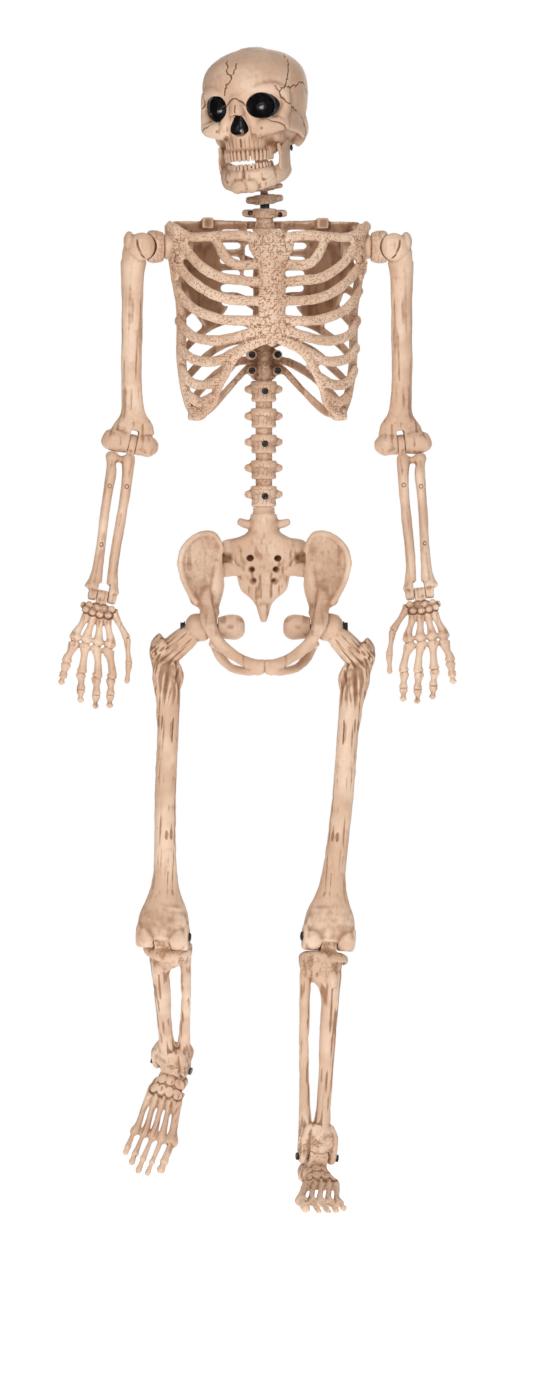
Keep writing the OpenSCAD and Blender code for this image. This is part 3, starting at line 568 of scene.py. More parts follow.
def make_bone_material():
    m = Nodes("antiqued_bone_plastic")
    m.coords = m.add("ShaderNodeTexCoord").outputs["Object"]
    wash_and_shade, ink, pit = m.attribute("wash_and_shade"), m.attribute("ink"), m.attribute("pit")
    broad, mid, fine = m.noise(14, 3), m.noise(55, 4), m.noise(240, 3)
    colour = m.mix(m.ramp(broad, 0.38, 0.66), CREAM, PALE)
    colour = m.mix(m.math("MULTIPLY", m.ramp(mid, 0.5, 0.72), 0.45), colour, ROSE)
    # The hollow field from finish_bone holds brown wash and painted shade; with the noise streaks it darkens
    # the colour toward TAN, then BROWN
    streak_wash_and_shade = m.math("ADD", wash_and_shade, m.math("MULTIPLY", m.math("SUBTRACT", mid, 0.45), 0.8))
    streak_wash_and_shade = m.math("ADD", streak_wash_and_shade, m.math("MULTIPLY", m.math("SUBTRACT", fine, 0.5), 0.35))
    colour = m.mix(m.math("MULTIPLY", m.ramp(streak_wash_and_shade, -0.12, 0.62), 0.8), colour, TAN)
    colour = m.mix(m.math("MULTIPLY", m.ramp(streak_wash_and_shade, 0.5, 1.5), 0.85), colour, BROWN)
    specks = m.math("MULTIPLY", m.ramp(fine, 0.6, 0.7), m.math("ADD", m.math("MULTIPLY", pit, 0.5), 0.12))
    colour = m.mix(specks, colour, TAN)
    colour = m.mix(m.ramp(ink, 0.3, 0.7), colour, INK)
    m.link(colour, m.shader.inputs["Base Color"])
    rough = m.ramp(streak_wash_and_shade, -0.2, 0.8, 0.46, 0.7)
    rough = m.math("SUBTRACT", rough, m.math("MULTIPLY", m.ramp(ink, 0.3, 0.7), 0.4))
    m.link(rough, m.shader.inputs["Roughness"])
    m.shader.inputs["IOR"].default_value = 1.46
    cells = m.add("ShaderNodeTexVoronoi", feature="F1")
    cells.inputs["Scale"].default_value = 420
    m.link(m.coords, cells.inputs["Vector"])
    dents = m.math("MULTIPLY", m.ramp(cells.outputs["Distance"], 0.1, 0.5), m.math("ADD", pit, 0.12))
    height = m.math("ADD", dents, m.math("MULTIPLY", fine, 0.5))
    bump = m.add("ShaderNodeBump")
    bump.inputs["Strength"].default_value = 0.35
    bump.inputs["Distance"].default_value = 0.0006
    m.link(height, bump.inputs["Height"])
    m.link(bump.outputs["Normal"], m.shader.inputs["Normal"])
    return m.material


def make_metal_material():
    m = Nodes("blackened_screw_steel")
    m.coords = m.add("ShaderNodeTexCoord").outputs["Object"]
    wear = m.ramp(m.noise(300, 4), 0.45, 0.75)
    m.link(m.mix(wear, (0.02, 0.019, 0.02), (0.11, 0.1, 0.095)), m.shader.inputs["Base Color"])
    m.link(m.ramp(wear, 0, 1, 0.32, 0.5), m.shader.inputs["Roughness"])
    m.shader.inputs["Metallic"].default_value = 0.75
    return m.material


bone_material = make_bone_material()
metal_material = make_metal_material()


# ---------------------------------------------------------------- small hardware
def solid(name, part, place, body, nodes, material, bevel=0.35):
    """A turned or built piece with a soft edge, kept crisp."""
    mesh = mesh_of([part])
    bm = bmesh.new()
    bm.from_mesh(mesh)
    bmesh.ops.remove_doubles(bm, verts=bm.verts, dist=0.001)
    bmesh.ops.recalc_face_normals(bm, faces=bm.faces)
    bm.to_mesh(mesh)
    bm.free()
    set_points(mesh, place.out(points(mesh)))
    if place.mirrored:
        mesh.flip_normals()
    mesh.polygons.foreach_set("use_smooth", np.ones(len(mesh.polygons), bool))
    o = bpy.data.objects.new(name, mesh)
    bpy.context.scene.collection.objects.link(o)
    o.data.materials.append(material)
    mod = o.modifiers.new("edge", "BEVEL")
    mod.width = bevel * MM
    mod.segments = 2
    mod.limit_method = "ANGLE"
    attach(o, body)
    if nodes:
        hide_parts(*nodes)
    return o


def screw(r, deep, head=2.4):
    """A pan head screw along +z, its head on top with a cross recess, centred on its seat."""
    n = 48
    rings = []
    for z, q in ((-deep, r * 0.4), (-deep, r * 0.5), (0, r * 0.5), (0, r), (head * 0.45, r * 0.98),
                 (head * 0.85, r * 0.8), (head, r * 0.55)):
        rings.append([(q * math.cos(a), q * math.sin(a), z) for a in np.linspace(0, 2 * math.pi, n,
                                                                                 endpoint=False)])

    def cross_ring(z, k):
        row = []
        for a in np.linspace(0, 2 * math.pi, n, endpoint=False):
            c, s = abs(math.cos(2 * a)), math.sin(2 * a)
            q = r * k * (0.16 + 0.34 * smoothstep(0.55, 0.95, np.array([c]))[0])
            row.append((q * math.cos(a), q * math.sin(a), z))
        return row

    rings += [cross_ring(head, 1.0), cross_ring(head * 0.25, 0.85)]
    return skin(rings)


def aimed(part, at, direction):
    """The part with its z along direction, at that local point."""
    d = unit(direction)
    u = unit(np.cross(d, (0.3, 0.2, 0.93) if abs(d[2]) < 0.9 else (1, 0, 0)))
    w = np.cross(d, u)
    v, f = part
    return v @ np.column_stack([u, w, d]).T + np.asarray(at, float), f


FRONT = (0, -1, 0)


def block(c, size):
    """A closed box."""
    h = np.array(size) / 2
    v = np.array([[x, y, z] for x in (-1, 1) for y in (-1, 1) for z in (-1, 1)]) * h + c
    f = [(0, 1, 3, 2), (4, 6, 7, 5), (0, 4, 5, 1), (2, 3, 7, 6), (0, 2, 6, 4), (1, 5, 7, 3)]
    return v, f


def groove(v, n, line, width, depth):
    """How far the surface sinks near a line, and the brown wash that gathers there."""
    d = to_line(v, line)
    k = np.exp(-((d / width) ** 2))
    return v - n * (depth * k)[:, None], 0.9 * k


def ring_mark(v, n, at, direction, r, width=0.8, depth=0.7):
    """A round plug mark: a shallow ring pressed into the surface around a point."""
    d = unit(direction)
    rel = v - np.asarray(at, float)
    along = rel @ d
    radial = np.linalg.norm(rel - along[:, None] * d, axis=1)
    facing = (n @ d > 0.35) & (np.abs(along) < 14)
    k = np.exp(-(((radial - r) / width) ** 2)) * facing
    return v - n * (depth * k)[:, None], 0.8 * k


# ---------------------------------------------------------------- surface carving
def fibres(v, n, mask, across=3.4, along=24.0, depth=0.9, seed=7, way=2):
    """Long carved strands running along one axis, deep where mask is 1."""
    q = v / across
    q[:, way] = v[:, way] / along
    f = grain(q, 1.0, seed)
    k = smoothstep(0.05, 0.75, f) * mask
    return v - n * (depth * k)[:, None], 0.75 * k


def worm_lines(v, n, mask, size=4.6, depth=0.55, seed=21):
    """A stippled net of fine furrows, as on the front of the rib cage."""
    f = np.abs(grain(v, size, seed) + 0.35 * grain(v, size * 0.45, seed + 1))
    k = smoothstep(0.3, 0.02, f) * mask
    return v - n * (depth * k)[:, None], 0.42 * k


def seams(v, n, a, b, spots, widths, mask):
    """Brown furrows round small bones whose middles lie at spots in the (a, b) plane."""
    near = np.min([np.hypot(a - x, b - y) for x, y in spots], axis=0)
    k = smoothstep(*widths, near) * smoothstep(widths[1] * 1.45, widths[1] * 1.12, near) * mask
    return v - n * (1.1 * k)[:, None], 0.6 * k


def marks(v, n, spots):
    """Round plug marks at (point, direction, radius)."""
    total = np.zeros(len(v))
    for at, direction, r in spots:
        v, w = ring_mark(v, n, at, direction, r)
        total += w
    return v, total


# ---------------------------------------------------------------- skull
SOCKET = (32, 101)
# Height and half width of the nose opening
NOSE = [(91, 2.6), (88, 5.6), (82, 8.8), (76, 11.6), (71, 12.2), (68, 10.6), (66.5, 8)]
SUTURES = [
    [(-16, -79, 161), (-12, -92, 149), (-4, -103, 138), (-12, -106, 132), (-15, -108, 118)],
    [(0, -89, 156), (-2, -96, 147), (-4, -103, 138)],
    [(44, -30, 165), (50, -42, 154), (55, -54, 143), (57, -71, 124), (51, -80, 117)],
    [(57, -71, 124), (61, -59, 122), (65, -39, 128), (66, -24, 126), (65, -6, 114)],
    [(60, -62, 121), (60, -64, 110), (58, -66, 101)],
    [(-44, -24, 164), (-56, -44, 146), (-59, -60, 124)],
    [(-59, -60, 124), (-66, -24, 126), (-64, 16, 116)],
    [(-61, -59, 127), (-54, -76, 123), (-47, -84, 122)],
    [(0, 30, 165), (0, 46, 142), (-14, 54, 124), (-34, 45, 112), (-52, 30, 98)],
    [(0, 46, 142), (16, 54, 124), (36, 45, 112), (52, 30, 98)],
    [(0, -40, 176), (3, -20, 179), (-2, 6, 174), (0, 30, 165)],
]
# The deeper brown lines of the face: brow of the nose, cheek seams and the ridges of the temples
FACE_LINES = [
    [(-13, -106, 104), (-7, -109, 111), (2, -111, 113), (10, -109, 107), (15, -105, 101), (17, -103, 93)],
    [(30, -100, 84), (37, -98, 83), (46, -88, 80), (51, -78, 76), (52, -74, 70)],
    [(-30, -100, 84), (-37, -98, 83), (-46, -88, 80), (-51, -78, 76)],
    [(46, -84, 125), (51, -80, 114), (55, -72, 104), (59, -62, 98), (63, -46, 92)],
    [(-46, -84, 125), (-51, -80, 114), (-55, -72, 104), (-59, -62, 98), (-63, -46, 92)],
    [(0, -112, 104), (0, -113, 96), (0, -112, 91)],
    [(0, -104, 66), (0, -103, 58), (0, -102, 50)],
    [(60, -30, 84), (63, -20, 76), (61, -10, 66), (56, -4, 60)],
    [(58, -22, 76), (60, -14, 70), (56, -8, 60)],
    [(-60, -30, 84), (-63, -20, 76), (-61, -10, 66), (-56, -4, 60)],
]


def jagged(line, seed, size=2.2, step=3.0):
    """A line with small zigzags, as a skull suture runs."""
    line = np.asarray(line, float)
    out = [line[0]]
    rng = np.random.default_rng(seed)
    for a, b in zip(line[:-1], line[1:]):
        m = max(2, int(np.linalg.norm(b - a) / step))
        for k in range(1, m + 1):
            out.append(a + (b - a) * k / m + (rng.uniform(-size, size, 3) if k < m else 0))
    return np.array(out)


def near_surface(v, line):
    """The line moved in or out so that each point lies on the surface."""
    line = np.asarray(line, float)
    rows = []
    c = np.array([0, -26, 100])
    d = (v - c) / np.linalg.norm(v - c, axis=1)[:, None]
    for p in line:
        u = (p - c) / np.linalg.norm(p - c)
        rows.append(v[np.argmax(d @ u)])
    return np.array(rows)


def skull_parts():
    p = [
        tube(
            [(0, -14, 48, 30, 40), (0, -16, 57, 43, 56), (0, -19, 69, 55, 69), (0, -23, 85, 62, 77),
             (0, -25, 104, 66, 82), (0, -26, 124, 67.4, 83.5), (0, -26, 141, 65.6, 80),
             (0, -26, 155, 58.6, 71), (0, -26, 166, 46.5, 56), (0, -26, 173, 32, 39),
             (0, -26, 177.5, 16, 20)],
            n=48,
        ),
        blob((0, -66, 130), (51, 41, 33)),
        blob((0, -66, 90), (50, 37, 34)),
        blob((0, -95, 122), (18, 12, 12)),
        tube([(0, -100, 118, 8, 8), (0, -105, 108, 8, 8), (0, -109, 98, 9, 7), (0, -110, 92, 10, 6)]),
        tube([(0, -78, 88, 34, 24), (0, -78, 76, 34, 26), (0, -76, 62, 30, 27), (0, -75, 50, 28.5, 26.5),
              (0, -74, 40.5, 27.6, 25.6)], n=32),
        blob((0, 8, 68), (50, 46, 26)),
        blob((0, 40, 84), (22, 18, 16)),
    ]
    for e in (1, -1):
        p += [
            tube([(e * 55, -70, 116, 6, 7), (e * 46, -84, 122, 7, 8), (e * 31, -94, 123, 8, 8),
                  (e * 15, -99, 119, 9, 8), (e * 4, -100, 117, 9, 8)], ref=Z),
            tube([(e * 56, -66, 122, 5, 8), (e * 57, -66, 108, 5.5, 9), (e * 56, -70, 95, 6, 9),
                  (e * 52, -78, 83, 8, 9)]),
            tube([(e * 55, -74, 78, 8, 10), (e * 47, -86, 75, 9, 10), (e * 35, -93, 73, 10, 11),
                  (e * 22, -95, 70, 9, 11)], ref=Z),
            tube([(e * 10, -102, 112, 6, 6), (e * 14, -101, 98, 6, 7), (e * 18, -98, 84, 8, 8),
                  (e * 20, -95, 68, 8, 8)]),
            tube([(e * 52, -76, 80, 8, 10), (e * 56, -60, 80, 6.6, 14), (e * 57, -40, 80, 6, 16),
                  (e * 56.4, -20, 78, 6, 18), (e * 53.6, -2, 74, 7, 18), (e * 49, 14, 72, 7, 16)], ref=Z,
                 n=20),
            tube([(e * 46.5, 0, 70, 9.4, 16), (e * 46, 1, 60, 9.4, 14), (e * 45, 1, 53, 7.6, 10),
                  (e * 44.6, 1, 48, 4, 5)]),
            blob((e * 38, -56, 64), (10, 22, 14)),
            tube([(e * 27, -76, 43, 6, 7), (e * 29.5, -66, 43.5, 6, 7.5), (e * 31, -56, 47, 6, 9)], ref=Z),
        ]
    return p


def skull_cuts():
    p = [tube([(0, -104, z, w, 15) for z, w in NOSE], n=24, sub=2), lathe_z([(20, 9.05), (60, 9.05)])]
    p[1] = moved(p[1], (0, -22, 0))
    for e in (1, -1):
        p += [
            tube([(e * 35, -130, 101, 15, 14.6), (e * 34.6, -104, 101, 15, 14.6), (e * 33, -90, 100, 14, 14),
                  (e * 30, -78, 99, 10, 9)], ref=Z, n=24),
            tube([(e * 29, -130, 102, 14.4, 16.2), (e * 28.8, -104, 102, 14.4, 16.2),
                  (e * 28, -90, 101, 14, 15), (e * 26, -76, 99, 10, 9)], ref=Z, n=24),
        ]
    return p


def sculpt_skull(v, n):
    wash_and_shade = np.zeros(len(v))
    for i, line in enumerate(SUTURES):
        v, w = groove(v, n, near_surface(v, jagged(line, i)), 0.95, 1.3)
        wash_and_shade += 1.1 * w
    for i, line in enumerate(FACE_LINES):
        v, w = groove(v, n, near_surface(v, jagged(line, 40 + i, 1.0, 4)), 1.15, 1.2)
        wash_and_shade += w
    x, y, z = v.T
    ax = np.abs(x)
    q = ((ax - SOCKET[0]) / 18.8) ** 2 + ((z - SOCKET[1] - 0.5) / 17.3) ** 2
    ink = smoothstep(1.02, 0.94, q) * (y < -50) * (n[:, 1] < 0.5)
    half = np.interp(z, [65.8, 66] + [h for h, _ in NOSE[::-1]] + [92],
                     [-4, 7.6] + [w for _, w in NOSE[::-1]] + [-4])
    spine = (ax < 1.8 * smoothstep(73, 66, z)) & (z < 73)
    ink = np.maximum(ink, smoothstep(-0.4, 0.5, half + 0.5 - ax) * (y < -76) * ~spine)
    smudge = np.exp(-(((v - np.array([10, -94, 138])) / [16, 14, 6]) ** 2).sum(1))
    smudge += 0.6 * np.exp(-(((v - np.array([0, -56, 168])) / [20, 16, 8]) ** 2).sum(1))
    wash_and_shade += 0.42 * smudge * (0.6 + 0.4 * grain(v, 4.5, 31))
    # Painted shade: the sides below the cheekbones, behind the face, are darkened where the gap to the jaw
    # lies in shadow.
    wash_and_shade += 0.45 * smoothstep(66, 52, z) * (y > -84) * smoothstep(20, 34, ax)
    face = smoothstep(-86, -94, y) * smoothstep(88, 74, z) * smoothstep(34, 28, ax)
    a = np.arctan2(x, -(y + 73))
    roots = np.cos(a * 30) * 0.5 + 0.5
    low = face * smoothstep(68, 54, z)
    v = v - n * (0.5 * roots**3 * low)[:, None]
    wash_and_shade += 0.2 * roots**3 * low
    v, w = fibres(v, n, 0.6 * face, 4, 18, 0.5, 61)
    wash_and_shade += 0.7 * w
    v, w = fibres(v, n, 0.35 * smoothstep(-30, -60, y), 9, 20, 0.4, 62)
    wash_and_shade += 0.3 * w
    for e, dx, dz in ((1, 31, 72), (-1, 31, 72), (1, 52, 66), (-1, 22, 60)):
        r = np.linalg.norm((v - np.array([e * dx, -98, dz])) / [1, 3, 1], axis=1)
        k = np.exp(-((r / 2.2) ** 2)) * (y < -60)
        v = v - n * (1.6 * k)[:, None]
        wash_and_shade += k
    return v, wash_and_shade, ink


def split_bone(o, place, at_y):
    """Cuts a finished bone in two at a plane of its own frame, so each half is a closed piece."""
    co = place.out(np.array([[0.0, at_y, 0.0]]))[0]
    no = place.axes[:, 1]
    halves = []
    for sign in (1, -1):
        bm = bmesh.new()
        bm.from_mesh(o.data)
        res = bmesh.ops.bisect_plane(
            bm, geom=bm.verts[:] + bm.edges[:] + bm.faces[:], plane_co=co, plane_no=no * sign,
            clear_outer=True
        )
        rim = [g for g in res["geom_cut"] if isinstance(g, bmesh.types.BMEdge)]
        bmesh.ops.holes_fill(bm, edges=rim, sides=0)
        m = bpy.data.meshes.new("half")
        bm.to_mesh(m)
        bm.free()
        m.materials.append(bone_material)
        m.polygons.foreach_set("use_smooth", np.ones(len(m.polygons), bool))
        halves.append(m)
    return halves


def tooth_ring(half_x, half_y, y0, z_root, z_tip, wide, step, seed):
    """Teeth on an arch with two molars behind each end, each a rounded peg with a chisel edge."""
    rng = np.random.default_rng(seed)
    p = []
    s = 1 if z_tip > z_root else -1
    h = abs(z_tip - z_root)
    spots = []
    for k in np.arange(-6.5, 7):
        a = math.radians(k * step + rng.uniform(-1, 1))
        out = rng.uniform(-0.5, 0.5)
        spots.append((k, a, (half_x + out) * math.sin(a), y0 - (half_y + out) * math.cos(a)))
    for e in (1, -1):
        for back in (7, 13.6):
            spots.append((7, e * math.pi / 2, e * (half_x + 0.09 * back), y0 - 0.3 * half_y + back))
    for k, a, x, y in spots:
        w = wide * (1.14 if abs(k) < 1 else 0.95 if abs(k) < 3.2 else 1.06)
        tip = z_tip - s * rng.uniform(0, 1.1)
        rows = [(x, y, z_root, w * 0.7, 2.4), (x, y, z_root + s * h * 0.3, w * 0.96, 3.1),
                (x, y, z_root + s * h * 0.7, w, 2.7), (x, y, tip - s * 1.0, w * 0.9, 2.0)]
        p.append(tube(rows, ref=(math.sin(a), -math.cos(a), 0), n=16))
    return p


def tooth_wash(half_x, half_y, y0, z_root, z_tip, step):
    """Brown gathers between the teeth and along the scalloped gum line."""
    def sculpt(v, n):
        t = (v[:, 2] - z_root) / (z_tip - z_root)
        a = np.degrees(np.arctan2(v[:, 0] / half_x, (y0 - v[:, 1]) / half_y)) / step
        gap = np.abs(a - np.round(a))
        gum = smoothstep(0.3, 0.16, t + 0.5 * gap**2)
        between = np.exp(-((gap / 0.13) ** 2))
        v = v - n * (0.35 * between)[:, None]
        return v, 0.02 + 0.6 * gum + 0.8 * between, np.zeros(len(v))

    return sculpt


skull = bone("skull_whole", skull_parts(), SKULL, "head", (), voxel=1.2, cuts=skull_cuts(), smooth=9,
             sculpt=sculpt_skull, lumps=0.45)
front_mesh, rear_mesh = split_bone(skull, SKULL, -12)
for name, mesh in (("skull_front", front_mesh), ("skull_rear", rear_mesh)):
    o = bpy.data.objects.new(name + "_bone", mesh)
    bpy.context.scene.collection.objects.link(o)
    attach(o, "head")
    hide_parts(name)
bpy.data.objects.remove(skull)

bone("upper_teeth", tooth_ring(29.2, 28, -73.5, 45, 29.8, 2.7, 11.4, 3), SKULL, "head", (), voxel=0.55,
     smooth=1, lumps=0.15, sculpt=tooth_wash(29.2, 28, -73.5, 45, 29.8, 11.4))


# ---------------------------------------------------------------- jaw
jaw_parts = [blob((0, -67, -40), (19, 9, 9.5)), blob((9, -68, -43), (10, 7, 7)),
             blob((-9, -68, -43), (10, 7, 7))]
for e in (1, -1):
    jaw_parts += [
        tube([(e * 42.6, -3, 8, 3.6, 8), (e * 42.4, -9, 0, 3.8, 14), (e * 42, -15, -9, 4.2, 20),
              (e * 41.4, -18, -19, 4.6, 21.5), (e * 40.6, -18, -28, 4.8, 18)]),
        tube([(e * 42.4, -8, -24, 4.4, 10), (e * 40.4, -24, -28, 5, 12), (e * 34, -43, -31, 5.6, 13),
              (e * 21, -59, -33, 6, 14), (e * 4, -66, -34, 6, 15)], ref=Z),
        tube([(e * 41.6, -24, -8, 3.4, 8), (e * 41, -30, 2, 3, 6), (e * 40.6, -33, 9, 2.2, 4)]),
        blob((e * 42, 0, 4), (5, 7, 7)),
    ]
for k in np.arange(-6.5, 7):
    a = math.radians(k * 10.8)
    x, y = 26.4 * math.sin(a), -38 - 25.4 * math.cos(a)
    jaw_parts.append(tube([(x, y, -32, 1.5, 1.5), (x, y, -26, 2.2, 2), (x, y, -20, 2.4, 2.3)],
                          ref=(math.sin(a), -math.cos(a), 0), n=10))
for e in (1, -1):
    jaw_parts.append(tube([(e * 26, -45, -25, 3, 6), (e * 28.4, -36, -25, 3.2, 6),
                           (e * 31, -28, -25, 3.4, 5)], ref=Z))


def sculpt_jaw(v, n):
    front = smoothstep(-30, -44, v[:, 1])
    wash_and_shade = 0.35 * smoothstep(-28, -19, v[:, 2]) * front
    v, w = fibres(v, n, 0.6 * front, 4, 14, 0.6, 63)
    wash_and_shade += 0.8 * w
    v, w = worm_lines(v, n, 0.35 * front * smoothstep(-24, -32, v[:, 2]), 6, 0.6)
    wash_and_shade += 0.5 * w
    for x, z in ((26, -34), (-26, -34), (-12, -31), (8, -36), (-4, -44)):
        r = np.linalg.norm((v - np.array([x, -64, z])) / [1, 3, 1], axis=1)
        k = np.exp(-((r / 2.0) ** 2)) * front
        v = v - n * (1.3 * k)[:, None]
        wash_and_shade += 0.8 * k
    return v, wash_and_shade, np.zeros(len(v))


bone("jaw_bone", jaw_parts, JAW, "jaw", ("jaw",), voxel=1.0, smooth=4, sculpt=sculpt_jaw, lumps=0.4)
bone("lower_teeth", tooth_ring(26.8, 25.9, -38.3, -23, -11.8, 2.35, 10.9, 5), JAW, "jaw", (), voxel=0.55,
     smooth=1, lumps=0.15, sculpt=tooth_wash(26.8, 25.9, -38.3, -22, -9.8, 10.9))


def coil(x0, x1, r, wire, turns, y, z):
    """A helical spring about x."""
    rows = []
    for t in np.linspace(0, 1, int(turns * 12) + 1):
        a = 2 * math.pi * turns * t
        rows.append((x0 + (x1 - x0) * t, y + r * math.cos(a), z + r * math.sin(a), wire, wire))
    return tube(rows, ref=X, n=10, sub=2)


for e, side in ((-1, "right"), (1, "left")):
    solid(f"jaw_spring_coil_{side}", coil(e * 33, e * 37.6, 5, 0.75, 3, -34, 44), SKULL, "head",
          (f"jaw_spring_{side}",), metal_material, bevel=0)
    shank = lathe_x([(e * 26, 2.3), (e * 46.6, 2.3)], 32)
    if e < 0:
        shank = (shank[0], [q[::-1] for q in shank[1]])
    head = aimed(screw(4.2, 3, 1.2), (e * 46.6, 0, 0), (e, 0, 0))
    v, f = joined([shank, head])
    solid(f"jaw_pivot_screw_{side}", (v + [0, -34, 44], f), SKULL, "head", (f"jaw_pin_{side}",),
          metal_material)


# ---------------------------------------------------------------- neck
def lobed_disc(r, z0, z1, wing, wing_z, tail):
    """A neck vertebra: drum, two side lobes and a short spine at the back."""
    p = [lathe_z([(z0, r * 0.86), (z0 + 1.5, r * 0.97), ((z0 + z1) / 2, r), (z1 - 1.5, r * 0.97),
                  (z1, r * 0.86)])]
    for e in (1, -1):
        p.append(tube([(e * 6, 0, wing_z, r * 0.6, 5), (e * (wing - 9), 1, wing_z + 0.6, 7, 5.4),
                       (e * (wing - 3), 2, wing_z + 1, 5.4, 4.6)], ref=Z))
    p.append(tube([(0, 8, wing_z, 5, 5.5), (0, 20, wing_z - 1, 4.2, 4.6), (0, tail, wing_z - 3, 3, 3.4)],
                  ref=X))
    return p


def sculpt_neck(v, n):
    v, w = worm_lines(v, n, 0.5, 6)
    return v, w + 0.12, np.zeros(len(v))


bone("atlas_bone", [
    lathe_z([(-9.5, 12), (-8, 15), (-6, 21), (-3, 22), (-1, 20), (0, 15)]),
    tube([(-24, 0, -4, 5, 3.4), (-12, 0, -4.5, 8, 4.4), (12, 0, -4.5, 8, 4.4), (24, 0, -4, 5, 3.4)], ref=Z),
    lathe_z([(-2, 8.8), (20, 8.8), (45, 8.8)]),
], HEAD, "head", ("atlas",), voxel=0.8, smooth=2, sculpt=sculpt_neck, lumps=0.2)
bone("neck_vertebra_upper_bone",
     lobed_disc(15.4, -6.2, 6.8, 25, 0, 28) + [lathe_z([(0, 4.9), (20, 4.9), (32, 4.9)])],
     UPPER_NECK, "upper_neck", ("neck_vertebra_upper",), voxel=0.7, smooth=2, sculpt=sculpt_neck, lumps=0.2,
     cuts=[block((0, 0, -5), (16.6, 6.4, 16))])
bone("neck_vertebra_lower_bone", lobed_disc(16.4, -7, 6, 30, -1, 31), NECK, "trunk", ("neck_vertebra_lower",),
     voxel=0.7, smooth=2, sculpt=sculpt_neck, lumps=0.2, cuts=[block((0, 0, 4), (12.2, 13, 19))])
bone("neck_post_bone", [
    lathe_z([(1263, 8), (1281, 8), (1283, 15.8), (1286, 15.8), (1287.4, 12), (1291, 11.2), (1302, 10.9)]),
    tube([(-11, -2, 1288, 2, 2), (-10.4, -2, 1296, 1.6, 1.6)]),
    tube([(11, -2, 1288, 2, 2), (10.4, -2, 1296, 1.6, 1.6)]),
], Place(TRUNK.origin + Y * NECK_Y, X, Y, Z), "trunk", ("neck_post",), voxel=0.7, smooth=2,
     sculpt=sculpt_neck, lumps=0.15)
front_screws = [aimed(screw(3.4, 5), (e * 19.5, -5.6, -1 - e), FRONT) for e in (1, -1)]
pin = lathe_x([(-20, 3.2), (-19.4, 3.5), (-18.2, 3.5), (-18, 2), (18, 2), (18.2, 3.5), (19.4, 3.5),
               (20, 3.2)], 32)
solid("neck_screws", joined([pin] + front_screws), NECK, "trunk", ("neck_nod_pin",), metal_material,
      bevel=0.2)


# ---------------------------------------------------------------- rib cage
RAIL = [(134, 1290), (129, 1250), (125, 1219), (118, 1177), (118, 1127), (115, 1088), (107, 1055), (97, 1039)]
DEPTH = [(1300, 48), (1260, 67), (1190, 78), (1130, 75), (1080, 64), (1034, 52)]
BACK = [(1300, 40), (1260, 70), (1190, 84), (1110, 74), (1034, 52)]


def along_table(z, table, col=1, key=0):
    t = sorted((row[key], row[col]) for row in table)
    return float(np.interp(z, [a for a, _ in t], [b for _, b in t]))


def wall(x, z, front=True, lift=0.0):
    """A point of the chest wall at x, z on the front or the rear shell."""
    w = along_table(z, RAIL, 0, 1) + 2
    d = along_table(z, DEPTH if front else BACK) + lift
    y = d * math.sqrt(max(0.0, 1 - (x / w) ** 2))
    return (x, min(SEAM_Y - y, SEAM_Y - 3) if front else max(SEAM_Y + y, SEAM_Y + 3), z)


def rib(points_xz, front, thick, high, e, lift=0.0):
    """A bar that follows the chest wall through points (x, z) on side e."""
    line = catmull([(x, z, h) for (x, z), h in zip(points_xz, np.broadcast_to(high, len(points_xz)))], 3)
    return tube([(*(np.array([e, 1, 1]) * wall(x, z, front, lift)), thick, h) for x, z, h in line], ref=Z,
                sub=2)


FRONT_RIBS = [
    [(14, 1238), (42, 1237), (58, 1245), (69, 1264), (74, 1275)],
    [(14, 1214), (42, 1217), (67, 1221), (92, 1236), (107, 1255), (114, 1268)],
    [(14, 1190), (48, 1191), (77, 1199), (104, 1218), (121, 1240)],
    [(14, 1165), (48, 1164), (74, 1168), (103, 1182), (121, 1206)],
    [(10, 1154), (42, 1144), (74, 1138), (103, 1145), (119, 1166)],
    [(10, 1140), (48, 1123), (73, 1111), (102, 1115), (117, 1130)],
    [(60, 1093), (82, 1081), (103, 1084), (115, 1102)],
    [(72, 1067), (91, 1058), (107, 1068)],
]
CLAVICLE = [(20, 1273), (45, 1276), (72, 1275), (103, 1274), (122, 1283), (131, 1290)]
ARCH = [(10, 1142), (30, 1131), (48, 1118), (62, 1091), (69, 1075), (77, 1055), (95, 1041)]
CORNER_WEB = [[(127, 1286), (120, 1266), (119, 1244), (122, 1220)], [(124, 1276), (112, 1262), (121, 1238)],
              [(116, 1278), (125, 1250), (123, 1228)]]

front_parts = [
    tube([(0, -100, 1281, 20, 6), (0, -104, 1274, 29, 7), (0, -110, 1262, 31, 7.5), (0, -115, 1250, 26, 8),
          (0, -119, 1238, 19, 8), (0, -123, 1215, 18, 8), (0, -125, 1190, 18.5, 8), (0, -125, 1165, 18, 8),
          (0, -124, 1148, 16, 7), (0, -121, 1138, 9, 6), (0, -119, 1132, 5, 4)], n=28)
]
for e in (1, -1):
    front_parts += [rib(r, True, 4.8, 7.3, e) for r in FRONT_RIBS]
    front_parts.append(rib(CLAVICLE, True, 6.0, [7.5, 7.0, 6.6, 6.6, 8.4, 7.4], e, 2))
    front_parts.append(rib(ARCH, True, 4.8, [6, 6.4, 8, 7, 7, 8, 8], e))
    front_parts += [rib(w, True, 3.6, 7.5, e, 1) for w in CORNER_WEB]
    front_parts.append(tube([(e * (x - 5), -55, z, 6.2, 6.6) for x, z in RAIL], n=16))
    front_parts.append(tube([(e * 52, -104, 1108, 9, 3.4), (e * 58, -101, 1099, 7, 3.4)], n=14))
    front_parts.append(tube([(e * 84, -70, 1050, 9, 6), (e * 91, -65, 1045, 12, 8),
                             (e * 98, -58, 1043, 10, 8)], n=14))
    front_parts.append(block((e * 96, -57, 1042), (16, 14, 15)))
front_cuts = [block((0, SEAM_Y + 30, 1165), (400, 60, 400))]
for e in (1, -1):
    front_cuts.append(moved(lathe_x([(e * 85, 17.3), (e * 152, 17.3)], 48), SHOULDER_AXLE))


